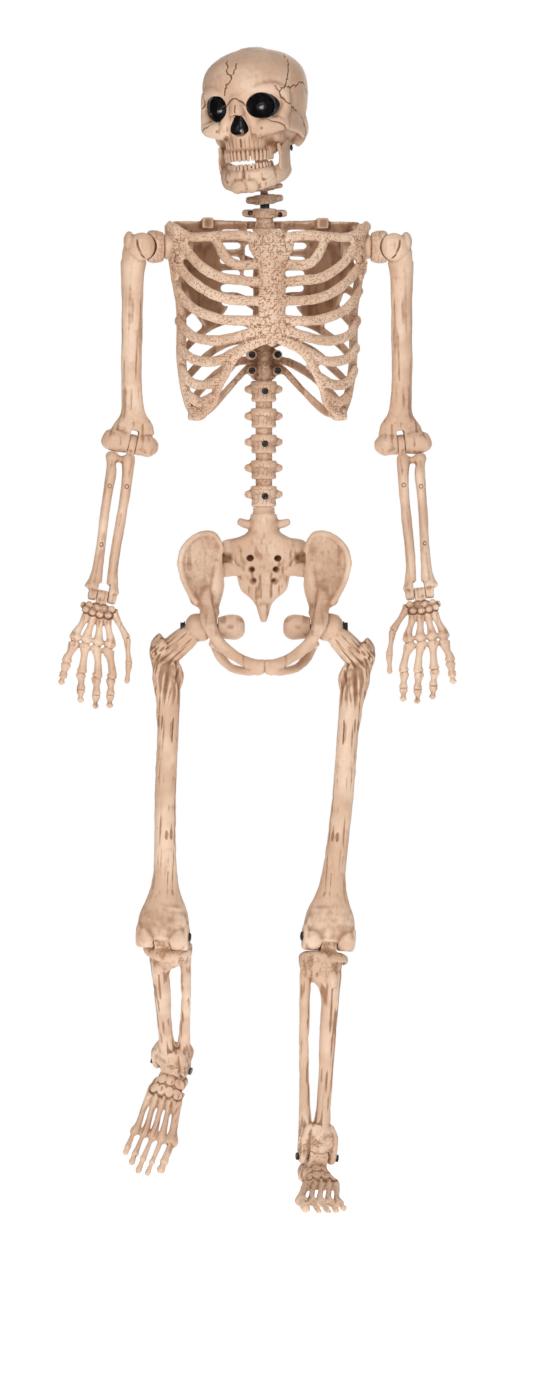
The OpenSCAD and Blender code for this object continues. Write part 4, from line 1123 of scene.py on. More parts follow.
def sculpt_front(v, n):
    v, w = worm_lines(v, n, smoothstep(-54, -62, v[:, 1]), 3.4, 0.55)
    spots = [((e * 119, -70, 1245), FRONT, 5.5) for e in (1, -1)]
    v, w2 = marks(v, n, spots)
    return v, w + w2, np.zeros(len(v))


bone("rib_cage_front_shell", front_parts, TRUNK, "trunk", ("rib_cage_front",), voxel=1.35, smooth=6,
     sculpt=sculpt_front, cuts=front_cuts, pit=0.55, lumps=0.6)

CHEST_SCREWS = (1121, 1100)
REAR_RIBS = [
    [(6, 1268), (34, 1276), (70, 1276), (106, 1268), (124, 1262)],
    [(6, 1240), (34, 1250), (70, 1250), (106, 1240), (121, 1232)],
    [(6, 1212), (34, 1224), (70, 1226), (102, 1212), (118, 1200)],
    [(6, 1184), (34, 1198), (70, 1196), (100, 1178), (113, 1162)],
    [(6, 1158), (34, 1168), (66, 1160), (96, 1138), (112, 1120)],
    [(6, 1132), (34, 1140), (66, 1126), (94, 1100), (109, 1084)],
    [(6, 1112), (34, 1112), (66, 1092), (90, 1068), (101, 1052)],
]


def scapula_at(u, w):
    """The shoulder blade: u runs from its spine edge to the shoulder, w from its tip to the top."""
    inner = np.interp(w, [0, 0.2, 0.5, 1], [62, 44, 24, 22])
    outer = np.interp(w, [0, 0.2, 0.5, 0.75, 1], [78, 98, 113, 120, 122])
    x = inner + (outer - inner) * u
    z = 1158 + 138 * w
    y = wall(min(x, 122), z, False)[1]
    return (x, y - 2 + 3 * math.sin(math.pi * u), z)


rear_parts = [
    tube([(0, -4, 1290, 12, 12), (0, 8, 1262, 12, 15), (0, 16, 1225, 13, 17), (0, 18, 1185, 13, 18),
          (0, 13, 1145, 14, 20), (0, 9, 1112, 15.5, 21), (0, 7.6, 1090, 16, 19)], n=24),
    block((0, 46, 1232), (9.6, 38, 19)),
    moved(lathe_x([(-4.8, 9.6), (-4, 10), (4, 10), (4.8, 9.6)], 40), HANG_EYE),
    moved(lathe_z([(1258, 13.5), (1281, 13.8), (1282.6, 13)]), (0, NECK_Y, 0)),
    tube([(-78, -14, 1294, 5, 5), (-40, 4, 1293, 4, 5), (0, 8, 1291, 4, 6), (40, 4, 1293, 4, 5),
          (78, -14, 1294, 5, 5)],
         ref=Z),
]
for k in range(7):
    z = 1272 - 27 * k
    y = 24 + along_table(z, [(1290, -8), (1225, 6), (1185, 9), (1112, 4), (1090, 2)])
    rear_parts.append(tube([(0, y, z, 4, 9), (0, y + 9, z - 5, 3, 6), (0, y + 13, z - 9, 2.6, 4)], ref=X))
for e in (1, -1):
    rear_parts += [rib(r, False, 3.8, 6.2, e, 2.4) for r in REAR_RIBS]
    blade = plate(scapula_at, np.linspace(0, 1, 17), np.linspace(0, 1, 22), 5.5, lambda u, w: True)
    rear_parts.append(blade if e > 0 else flipped(blade))
    rear_parts.append(tube([(e * (x - 4), -42, z, 5.4, 5.4) for x, z in RAIL], n=16))
    rear_parts.append(tube([(e * 10, 2, 1112, 6, 6), (e * 26, -8, 1100, 4.5, 5), (e * 50, -14, 1074, 4.5, 5),
                            (e * 76, -30, 1048, 4.5, 6), (e * 90, -44, 1042, 4.5, 6)], ref=Z))
    rear_parts.append(tube([(e * 48, 24, 1252, 5, 6), (e * 84, 20, 1270, 6, 7), (e * 112, -12, 1286, 8, 7),
                            (e * 126, -40, 1287, 8, 6)], ref=Z))
    rear_parts.append(moved(lathe_x([(e * 98, 15.5), (e * 99.5, 17), (e * 134, 17), (e * 136, 15.5)], 48),
                            SHOULDER_AXLE))
    rear_parts.append(block((e * 117, -30, 1262), (34, 38, 25)))
    rear_parts.append(block((e * 76, -18, 1294), (15, 15, 14)))
    for z in CHEST_SCREWS:
        rear_parts.append(aimed(lathe_z([(-12, 6.5), (14, 6.5), (15.4, 5.2)]), (e * 17, -0.5, z), FRONT))
        rear_parts.append(tube([(e * 6, -2, z, 7, 5), (e * 14, -2, z, 6, 5)], ref=Z))
rear_cuts = [block((0, SEAM_Y - 30, 1200), (190, 60, 400)), moved(lathe_x([(-9, 5), (9, 5)], 32), HANG_EYE)]
for e in (1, -1):
    rear_cuts.append(moved(lathe_x([(e * 88, 6.1), (e * 150, 6.1)], 32), SHOULDER_AXLE))
rear_cuts.append(lathe_z([(1060, 11.05), (1104, 11.05)]))
for e in (1, -1):
    for z in np.arange(1283, 1165, -18.5):
        rear_cuts.append(tube([(e * 32, 28, z, 4.6, 34), (e * 40, 28, z, 5, 34),
                               (e * (50 + 0.05 * (z - 1170)), 28, z, 4.6, 34)],
                              ref=Y, n=16, sub=2))


def sculpt_rear(v, n):
    v, w = fibres(v, n, 0.5 * (np.abs(v[:, 0]) > 40), 7, 40, 0.5, 15)
    v, w2 = worm_lines(v, n, 0.5 * (np.abs(v[:, 0]) < 40), 6, 0.6)
    # Painted shade: the inner faces of the rear shell, turned to the front behind the seam, are darkened as
    # the shadowed inside of the chest.
    inner_face_shade = smoothstep(0.0, 0.5, -n[:, 1]) * (v[:, 1] > SEAM_Y + 8)
    return v, w + w2 + 0.75 * inner_face_shade, np.zeros(len(v))


bone("rib_cage_rear_shell", rear_parts, TRUNK, "trunk", ("rib_cage_rear",), voxel=1.5, smooth=5,
     sculpt=sculpt_rear, cuts=rear_cuts, lumps=0.5)
chest_screws = [aimed(screw(4.6, 6), (e * 17, -16, z), FRONT) for z in CHEST_SCREWS for e in (1, -1)]
solid("rib_cage_screw_set", joined(chest_screws), TRUNK, "trunk", ("rib_cage_screws",), metal_material,
      bevel=0.2)


# ---------------------------------------------------------------- lower spine
bone("spine_tube_bone", [lathe_z([(884, 8.8), (912.9, 8.9), (913, 10.9), (1000, 11), (1108, 11)], 48)], TRUNK,
     "trunk", ("spine_tube",), voxel=0.9, smooth=1, sculpt=sculpt_neck, lumps=0.15)
for name, z, h in (("t12", 1073, 13.8), ("l1", 1038, 13), ("l2", 1004, 12.5), ("l3", 970, 12.5),
                   ("l4", 935, 14)):
    parts = [lathe_z([(-h, 14.5), (-h + 1.5, 16.3), (-h + 4, 16.8), (-3, 15.6), (2, 16), (h - 7, 17.2),
                      (h - 3, 17.6), (h - 1.2, 17), (h, 15.4)], 48)]
    for e in (1, -1):
        parts.append(tube([(e * 12, 2, h * 0.2, 7, 6.5), (e * 19, 3, h * 0.2, 6, 6),
                           (e * 22.5, 4, h * 0.2, 4.4, 4.6)], ref=Z))
    parts.append(tube([(0, 12, 0, 5, 7), (0, 25, -3, 3.6, 6), (0, 33, -5, 2.8, 4.4)], ref=X))
    bone(f"vertebra_{name}_bone", parts, Place(TRUNK.origin + Z * z, X, Y, Z), "trunk", (f"vertebra_{name}",),
         voxel=0.85, smooth=3, sculpt=sculpt_neck, lumps=0.35)
solid("spine_screw_set", joined([aimed(screw(4.3, 5), (0, -16.4, z), FRONT) for z in (1073, 1004, 935)]),
      TRUNK, "trunk", ("vertebra_screws",), metal_material, bevel=0.2)


# ---------------------------------------------------------------- pelvis
HIP_LOW = 763 - WAIST_Z
SACRAL_HOLES = (-60, -75, -90)
sacrum_parts = [
    tube([(0, 0, -1, 17, 16), (0, 0, -4, 18, 17), (0, 0, -14, 18.5, 17), (0, 2, -26, 23, 16),
          (0, 4, -36, 40, 15), (0, 8, -52, 45, 14), (0, 13, -72, 39, 12), (0, 16, -88, 34, 10.5),
          (0, 18, -101, 30, 9.4), (0, 20, -111, 19, 8.5), (0, 21, -120, 11, 7), (0, 18, -131, 7.6, 5.5),
          (0, 16, -141, 4.6, 4)], n=32),
]
for e in (1, -1):
    sacrum_parts += [
        tube([(e * 12, 0, -15, 7, 6), (e * 24, 0, -14, 6, 6), (e * 32, 1, -11, 5, 5)], ref=Z),
        tube([(e * 20, 5, -40, 10, 9), (e * 36, 8, -44, 9, 12), (e * 50, 11, -46, 6, 11),
              (e * 54, 12, -47, 4, 8)], ref=Z),
        tube([(e * 36, 12, -66, 9, 13), (e * 46, 16, -70, 8, 13), (e * 52, 18, -72, 6, 10)], ref=Z),
        blob((e * 49, 16, -58), (11, 7, 15)),
    ]
sacrum_cuts = [lathe_z([(-30, 9.05), (6, 9.05)])]
for e in (1, -1):
    for k, z in enumerate(SACRAL_HOLES):
        sacrum_cuts.append(tube([(e * (19 - 2 * k), -14, z, 5 - 0.4 * k, 4.6 - 0.4 * k),
                                 (e * (18 - 2 * k), 1, z + 1, 4.6 - 0.4 * k, 4.2 - 0.4 * k),
                                 (e * (16 - 2 * k), 8 + 2 * k, z + 2, 2, 2)], ref=Z))


def sculpt_sacrum(v, n):
    v, w = fibres(v, n, 0.3, 3.4, 12, 0.4, 19)
    v, w2 = fibres(v, n, 0.5 * smoothstep(-30, -60, v[:, 2]), 5, 26, 0.7, 9)
    hole = (v[:, 1] > -8) & (v[:, 1] < 10) & (n[:, 1] < 0.2)
    deep = np.zeros(len(v))
    for k, z in enumerate(SACRAL_HOLES):
        q = ((np.abs(v[:, 0]) - 18 + 2 * k) / 5) ** 2 + ((v[:, 2] - z - 1) / 4.8) ** 2
        deep = np.maximum(deep, smoothstep(1.5, 0.5, q) * hole)
    joint = smoothstep(38, 46, np.abs(v[:, 0])) * smoothstep(-48, -56, v[:, 2])
    return v, w + w2 + 0.9 * deep + 0.8 * joint, np.zeros(len(v))


bone("sacrum_bone", sacrum_parts, PELVIS, "pelvis", ("sacrum",), voxel=1.05, smooth=4, cuts=sacrum_cuts,
     sculpt=sculpt_sacrum, lumps=0.5)

# Edge of the iliac blade in its own plane: distance along the blade and height
ILIUM = [(64, 78), (66, 100), (72, 115), (82, 123), (98, 123), (114, 116), (127, 103), (132, 86), (129, 68),
         (120, 50), (108, 34), (94, 22), (80, 18), (70, 28), (63, 50)]


def blade_parts():
    """The wide iliac wing: a dished plate with a rolled edge."""
    c = np.array([96, 72])
    edge = catmull([(a, b, 0) for a, b in ILIUM + ILIUM[:1]], 4)[:-1, :2]
    turn = math.radians(33)

    def lay(s, h, dish):
        return (s * math.cos(turn) + dish * math.sin(turn), 42 - s * math.sin(turn) + dish * math.cos(turn),
                h)

    rings = []
    for side in (1, -1):
        for share in np.linspace(0.02, 1, 12) if side > 0 else np.linspace(1, 0.02, 12):
            ring_pts = []
            for a, b in edge:
                s, h = c + (np.array([a, b]) - c) * share
                dish = 5.5 * (1 - share**2) + side * (2.6 if share < 0.99 else 1.6)
                ring_pts.append(lay(s, h, dish))
            rings.append(ring_pts)
    rim = [(*lay(a, b, 0), 4, 4) for a, b in np.vstack([edge[4:-10:2]])]
    return [skin(rings), tube(rim, ref=unit((math.sin(turn), math.cos(turn), 0)), sub=2, n=12)]


hip_parts = blade_parts() + [
    tube([(71, 4, 32, 10, 12), (68, 1, 16, 10, 17), (66, 0, 4, 5.5, 21.5), (66, 0, -8, 5.2, 20),
          (66, -1, -18, 7, 13), (66, -2, -24, 7, 9)], n=28),
    tube([(66, -6, -12, 7, 8), (60, -14, -22, 7, 8), (48, -26, -31, 6.6, 7), (28, -39, -43, 6.4, 6.4),
          (12, -45, -50, 7, 8), (1, -47, -51, 8, 9.6)], ref=Z),
    tube([(90, 10, 80, 22, 4), (88, 4, 62, 18, 4.6), (86, -4, 46, 15, 5), (81, -13, 30, 13, 5.4),
          (76, -21, 15, 11, 5.6), (71, -25.5, 0, 9.4, 5.6), (62, -26, -16, 8.4, 5.6), (48, -29, -31, 7.8, 6),
          (28, -40, -44, 7.4, 6.4), (12, -46, -50, 8, 8)], n=24),
    blob((9, -46, -53), (11, 8, 10.5)),
    tube([(66, 6, -14, 7, 7), (64, 9, -26, 6.6, 6), (58, 6, -38, 6.6, 6), (50, 0, -48, 6.6, 6)]),
    tube([(54, 3, -44, 6.6, 6), (43, -9, -53, 7, 6), (28, -28, -57, 7.4, 6), (14, -41, -57, 8, 6.6),
          (3, -46, -55, 8, 7)],
         ref=Z),
    tube([(62, 9, 84, 8, 9), (62, 8, 66, 9, 10), (66, 6, 46, 10.5, 11), (71, 3, 26, 10.5, 13)], n=24),
    tube([(66, 10, 74, 9, 9), (50, 17, 76, 7, 10), (38, 20, 76, 6, 9), (28, 21, 76, 5.6, 9)], ref=Z),
    blob((60, 10, 46), (6, 7, 7)),
    tube([(88, -6, 40, 12, 6), (80, -2, 30, 11, 7), (74, 0, 23, 8, 9), (68, 0, 14, 6, 12)], n=24),
    blob((30, -38, -44), (8, 6, 6)),
    tube([(26, 21, 76, 3.8, 3.8), (31, 21, 76, 3.8, 3.8)], ref=Z),
]
hip_cuts = [lathe_x([(20, 17.4), (61.8, 17.4)], 48), lathe_x([(70.8, 21), (85, 21), (85.1, 31), (112, 31)],
                                                             48),
            block((-50, 0, 0), (98.4, 200, 300))]


def sculpt_hip(v, n):
    v, w = fibres(v, n, 0.3 + 0.4 * smoothstep(20, -20, v[:, 2]), 7, 42, 0.6, 13)
    v, w2 = worm_lines(v, n, 0.2, 8, 0.4)
    flank = 0.35 * smoothstep(40, 16, v[:, 2]) * smoothstep(-20, 6, v[:, 2])
    return v, 0.8 * w + 0.5 * w2 + flank, np.zeros(len(v))


KNOB = [(25, 4), (25.6, 8), (28, 12), (32, 15), (38, 16.8), (48, 16), (56, 14.4), (60.5, 13), (60.9, 10)]
CUP = [(-15.4, 12), (-14, 14.6), (-10, 17.6), (-4, 18.3), (4, 18), (10, 16.8), (14, 13), (16.2, 9), (16.5, 6)]

for side, place in SIDES.items():
    sg = 1 if side == "left" else -1
    hip = Place(PELVIS.origin + PELVIS.axes @ [0, -10, HIP_LOW], PELVIS.axes[:, 0] * sg, PELVIS.axes[:, 1], Z)
    bone(f"hip_bone_{side}_bone", hip_parts, hip, "pelvis", (f"hip_bone_{side}",), voxel=1.3, smooth=7,
         cuts=hip_cuts, sculpt=sculpt_hip, lumps=0.6)
    bone(f"hip_knob_{side}_bone", [lathe_x(KNOB, 48)], hip, "pelvis", (f"hip_knob_{side}",), voxel=0.9,
         smooth=2, sculpt=lambda v, n: (*fibres(v, n, 0.5, 9, 9, 0.5, 3), np.zeros(len(v))), lumps=0.5)


# ---------------------------------------------------------------- legs
femur_parts = [
    lathe_x(CUP, 48),
    tube([(7, 0, -7, 14, 14.5), (17, 2, -17, 16.5, 15), (30, 4, -30, 17, 15.5), (42, 4, -44, 15, 15)], n=28),
    tube([(50, 6, -13, 4, 6), (50, 6, -20, 9, 11), (50, 5, -32, 12, 13.5), (46, 4, -46, 14, 15),
          (40, 2, -62, 17, 16), (35, 0, -84, 17, 15.5), (32.8, -2, -108, 15.4, 14.6),
          (31, -4, -150, 14.2, 14), (29.6, -5, -220, 14, 14), (26, -4, -290, 14.6, 14),
          (23.6, -2, -328, 16.5, 15.4), (22.4, 0, -352, 21.5, 17), (22, 0, -372, 29.5, 19.5),
          (22, 0, -388, 33.6, 21), (22, 0, -400, 33.6, 19)], n=32),
    tube([(30, 4, -44, 5, 6), (24, 5, -58, 7, 8), (22, 5, -70, 7.6, 8.6), (28, 2, -94, 6, 8)], n=20),
    blob((46, -8, -30), (8, 7, 12)),
    blob((32, -8, -60), (8, 5, 15)),
    blob((40, 12, -60), (9, 7, 14)),
]


def knee_cheeks():
    """The two round cheeks of the knee with their front, and the slot between them."""
    out = []
    m = spun(6.7)
    for e in (1, -1):
        a, b = sorted((e * 11.3, e * 34.6))
        out.append(moved(lathe_x([(a, 15.6), (a + 1.4, 17.2), (b - 2, 17.4), (b, 14)] if e > 0 else
                                 [(a, 14), (a + 2, 17.4), (b - 1.4, 17.2), (b, 15.6)], 48), to=m))
        out.append(moved(blob((e * 21, -11, -3), (13, 11, 14)), to=m))
    out.append(moved(tube([(0, -6, 36, 26, 14), (0, -8, 18, 31, 13), (0, -9, 4, 30, 12), (0, -10, -5, 22, 9)],
                          n=28), to=m))
    slot = moved(block((0, 20.2, -4), (22.6, 70, 48)), to=m)
    round_front = moved(lathe_x([(-11.3, 15.4), (11.3, 15.4)], 40), to=m)
    at = np.array([KNEE_OUT, 0, -THIGH])
    return [moved(p, at) for p in out], [moved(slot, at), moved(round_front, at)]


def sculpt_femur(v, n):
    z = v[:, 2]
    neck = smoothstep(-4, -16, z) * smoothstep(-112, -84, z) * smoothstep(4, 12, v[:, 0])
    shaft = smoothstep(-70, -110, z) * smoothstep(-390, -300, z)
    wash_and_shade = 0.25 * smoothstep(-350, -385, z) + 0.15 * neck
    upper = smoothstep(-58, -42, z)
    for lean, across, along, depth, seed in ((1, 3.0, 90, 1.0, 33), (0.2, 3.4, 90, 0.9, 34),
                                             (0.1, 7.5, 90, 1.5, 35)):
        slanted = np.column_stack([(v[:, 0] + lean * z) / across, v[:, 1] / across,
                                   (lean * v[:, 0] - z) / along])
        k = smoothstep(-0.05, 0.6, grain(slanted, 1.0, seed)) * neck * (upper if lean == 1 else 1 - upper)
        v = v - n * (depth * k)[:, None]
        wash_and_shade += 0.45 * k
    v, w = fibres(v, n, 0.7 * shaft, 3.4, 34, 0.9, 7)
    pits = smoothstep(0.6, 0.85, grain(v / np.array([1, 1, 5]), 5.0, 51)) * shaft
    v = v - n * (0.9 * pits)[:, None]
    blotches = 0.4 * neck * smoothstep(-0.2, 0.6, grain(v, 14, 52))
    return v, wash_and_shade + 0.8 * w + 0.6 * pits + blotches, np.zeros(len(v))


shin_parts = [
    tube([(-5, 2, -20.5, 28, 19), (-5, 2, -24, 32, 22), (-5, 2, -30, 33, 23), (-5, 1, -37, 31, 21),
          (-1, 0, -47, 23, 17), (4, -1, -60, 16, 14), (6.6, -2, -80, 12.4, 12.5), (6.6, -2, -120, 11, 12),
          (6.6, -1, -180, 10, 11), (6.4, 0, -230, 10, 10.5), (5, 0, -250, 13, 12), (2, 0, -262, 22, 14)],
         n=28),
    tube([(-22, 2, -34, 9, 9), (-27, 3, -50, 8, 8), (-26, 4, -90, 7, 7), (-23, 5, -150, 6.6, 6.8),
          (-19, 5, -205, 7, 7), (-16, 3, -250, 9, 9), (-15, 0, -264, 10, 11)], n=18),
    blob((6, -14, -54), (7, 6, 12)),
    lathe_x([(-10.9, 12.6), (-10, 13.8), (10, 13.8), (10.9, 12.6)], 48),
    block((0, 0, -15), (21.6, 21, 16)),
]


def ankle_fork(side):
    """The two cheeks beside the ankle and the gap between them, in the shin frame."""
    m = spun({"right": 16, "left": 9}[side])
    at = np.array([2, 0, -289])
    cheeks = [
        moved(tube([(e * 14, 0, 40, 6, 10), (e * 20, 0, 24, 7, 12.5), (e * 20, 0, 4, 6.6, 11.5),
                    (e * 19.6, 0, -7, 5.2, 8)], n=24), to=m)
        for e in (1, -1)
    ]
    bell = tube([(0, -1, 42, 16, 12), (0, -1, 31, 22, 14.4), (0, -1, 20, 25, 15), (0, -1, 11, 22.5, 14.4),
                 (0, -1, 5, 18, 12)], n=28)
    cheeks.append(moved(bell, to=m))
    gap = [lathe_x([(-13.2, 13), (13.2, 13)], 40), block((0, 0, -8), (26.4, 60, 18))]
    return [moved(c, at) for c in cheeks], [moved(moved(g, to=m), at) for g in gap]


def sculpt_shin(v, n):
    z = v[:, 2]
    mask = 0.35 + 0.6 * smoothstep(-40, -70, z) * smoothstep(-262, -236, z)
    v, w = fibres(v, n, mask, 3.6, 36, 0.85, 17)
    ends = np.clip(smoothstep(-60, -40, z) + smoothstep(-240, -262, z), 0, 1)
    v, w2 = worm_lines(v, n, 0.35 * ends, 6, 0.8)
    blotches = 0.5 * ends * smoothstep(-0.3, 0.6, grain(v, 9, 53))
    return v, w + 0.8 * w2 + blotches, np.zeros(len(v))


TOES = [(-27, -128), (-12, -137), (1, -137), (14, -129), (27, -118)]
TOE_SHIFT = {"right": -5, "left": -16}
TOE_REACH = {"right": 1.07, "left": 0.96}
TARSALS = [(-13, -4), (0, -2), (13, -6), (-16, -16), (-4, -17), (8, -17), (19, -18), (-18, -30), (-7, -31),
           (4, -31), (15, -30)]
foot_parts = [
    tube([(0, 46, -34, 8, 9), (0, 41, -32, 12, 13), (0, 28, -28, 14, 15), (0, 12, -23, 14, 14),
          (0, -8, -21, 17, 14), (0, -26, -24, 21, 12), (0, -36, -26, 22, 10)], ref=Z, n=24),
    lathe_x([(-12.8, 10.4), (-12, 11.8), (12, 11.8), (12.8, 10.4)], 48),
    block((0, 0, -10), (25, 20, 14)),
    blob((-16, -10, -22), (8, 12, 8)),
    blob((14, -20, -25), (9, 12, 7)),
    blob((0, 40, -40), (10, 10, 6)),
]


def toe(k, side):
    """One ray of the foot from the middle of the foot to the tip of the toe."""
    tip_x, tip_y = TOES[k][0] + TOE_SHIFT[side], TOES[k][1] * TOE_REACH[side]
    base_x, big = (-22 + 11.4 * k) * 0.8, 1.4 if k == 0 else 1.0
    mid = (-98 + tip_y) / 2
    return tube([
        (base_x, -24, -25, 6 * big, 7), (base_x, -34, -26, 6.2 * big, 6.6),
        ((base_x + tip_x) / 2, -58, -29.5, 3.9 * big, 4.6), (tip_x * 0.9, -78, -33.6, 4.6 * big, 5.2),
        (tip_x * 0.96, -89, -36, 6.6 * big, 6.2 * big), (tip_x, -94, -36.4, 5.6 * big, 5.2 * big),
        (tip_x, -97, -36.4, 3.4 * big, 3.4 * big), (tip_x, mid + 3, -37, 3.8 * big, 3.8 * big),
        (tip_x, mid - 3, -37.4, 5.0 * big, 4.6 * big), (tip_x, mid - 7, -38, 3.4 * big, 3.4 * big),
        (tip_x, tip_y + 5, -38.6, 4.8 * big, 4.2 * big), (tip_x, tip_y + 2, -39, 3.6 * big, 3.2 * big)],
                ref=Z, n=14)


foot_cuts = [lathe_x([(13.1, 16), (29, 16)], 40), lathe_x([(-29, 16), (-13.1, 16)], 40)]


def sculpt_foot(v, n):
    v, w = fibres(v, n, 0.6, 3.4, 20, 0.7, 19, way=1)
    v, w2 = seams(v, n, v[:, 0], v[:, 1], TARSALS, (5.2, 7.0), smoothstep(-8, -14, v[:, 2] + 0.2 * v[:, 1]))
    return v, w + w2, np.zeros(len(v))


for side, place in SIDES.items():
    cheeks, slot = knee_cheeks()
    bone(f"femur_{side}_bone", femur_parts + cheeks, place["thigh"], f"thigh_{side}", (f"femur_{side}",),
         voxel=1.3, smooth=4, cuts=slot, sculpt=sculpt_femur, lumps=0.7)
    fork, gap = ankle_fork(side)
    bone(f"shin_{side}_bone", shin_parts + fork, place["shin"], f"shin_{side}", (f"shin_{side}",), voxel=1.2,
         smooth=4, cuts=gap, sculpt=sculpt_shin, lumps=0.6)
    bone(f"foot_{side}_bone", foot_parts + [toe(k, side) for k in range(5)], place["foot"], f"foot_{side}",
         (f"foot_{side}",), voxel=0.95, smooth=3, cuts=foot_cuts, sculpt=sculpt_foot, lumps=0.5)
    pin = lathe_x([(-35, 3.9), (35, 3.9)], 40)
    head = aimed(screw(6.2, 2, 2.6), (-34.9, 0, 0), (-1, 0, 0))
    solid(f"knee_bolt_{side}", joined([pin, head]), place["knee"], f"thigh_{side}", (f"knee_pin_{side}",),
          metal_material)


# ---------------------------------------------------------------- arms
humerus_parts = [
    tube([(8, 0, 8, 13, 16), (9, 0, -4, 16.4, 17), (9, 0, -16, 17.4, 17), (9.6, 0, -32, 16, 15.6),
          (9, 0, -50, 14.8, 14.4), (8.4, 0, -70, 14.4, 13.8), (7.2, 0, -110, 14, 13.2),
          (6, 0, -152, 13.8, 12.8), (3, 0, -196, 14, 12.6), (1, 0, -218, 16.5, 12.5), (0, 0, -234, 26, 13),
          (0, 0, -245, 29, 12.5)], n=28),
    blob((17, -6, 6), (8, 12, 14)),
    blob((16, 6, -16), (8, 9, 14)),
]
elbow_block = [(-32, 0, 1, 6, 8), (-28, 0, 1, 12, 12), (-20, 0, 1, 16, 15), (-10, 0, 3, 15, 15),
               (4, 0, 4, 14, 15), (18, 0, 1, 16.4, 16), (30, 0, 1, 15.6, 15), (37, 0, 3, 10, 10)]


def shoulder_ball():
    """The round head of the upper arm: a ball flattened front and back."""
    rings = []
    for y in np.linspace(-21.6, 21.6, 19):
        r = min(18.2, math.sqrt(24**2 - y**2)) * (1 if abs(y) < 20 else 0.97)
        rings.append([(r * math.cos(a), y, r * math.sin(a)) for a in np.linspace(0, 2 * math.pi, 40,
                                                                                 endpoint=False)])
    return skin(rings)


def sculpt_humerus(v, n):
    z = v[:, 2]
    v, w = fibres(v, n, 0.25 + 0.4 * smoothstep(-40, -80, z), 4.2, 40, 0.7, 23)
    v, w2 = groove(v, n, [(4, -22, 19), (8, -22, 10), (6, -21, 0), (0, -20, -12), (-8, -17, -20)], 1.5, 1.7)
    v, w3 = worm_lines(v, n, 0.3 * smoothstep(-200, -230, z), 9, 0.4)
    return v, 0.8 * w + w2 + 0.6 * w3, np.zeros(len(v))


forearm_parts = [
    tube([(22.5, 0, -18, 8, 8), (22.4, 0, -23, 9, 9), (22, 0, -31, 6.4, 6.6), (20, -1, -42, 7.2, 7),
          (19, 0, -70, 6.4, 6.6), (17.6, 0, -100, 6.2, 6.4), (14, 0, -150, 6.4, 6.6), (12.6, 0, -183, 8.6, 8),
          (14, 0, -198, 12, 10)], n=20),
    tube([(1, 0, -18, 8.6, 8), (0, 0, -28, 8.6, 9), (-2.4, 0, -46, 7.4, 7.6), (-3.6, 0, -70, 6.8, 7),
          (-5, 0, -110, 6.6, 6.8), (-6.4, 0, -160, 6.6, 6.8), (-9.6, 0, -186, 8, 8), (-12, 0, -200, 9.4, 9)],
         n=20),
    tube([(1, 0, -23, 5, 5), (22, 0, -23, 5, 5)], ref=Z),
    lathe_x([(-4.8, 11.4), (-4, 12.4), (4, 12.4), (4.8, 11.4)], 40),
    block((0, 0, -13), (9.5, 13, 15)),
]
for e in (1, -1):
    a, b = sorted((e * 7.4, e * 18.5))
    forearm_parts.append(moved(lathe_x([(a, 7), (a + 1, 8), (b - 1, 8), (b, 7)], 36), (0, 0, -206)))
    forearm_parts.append(tube([(e * 12.4, 0, -188, 5.4, 7.4), (e * 12.8, 0, -203, 5.2, 7.6)], n=18))


def sculpt_forearm(v, n):
    v, w = fibres(v, n, 0.5, 3.6, 34, 0.6, 29)
    spots = [((19, -6, -62), FRONT, 2.6), ((-3.4, -6, -58), FRONT, 2.6), ((14.6, -6, -140), FRONT, 2.4)]
    v, w2 = marks(v, n, spots)
    return v, 0.8 * w + w2, np.zeros(len(v))


def bony(rows, grow=1.14):
    """A small bone of one hand or foot, its knobs made full by the factor grow."""
    return tube([(x, y, z, a * grow, b * grow) for x, y, z, a, b in rows], n=16)


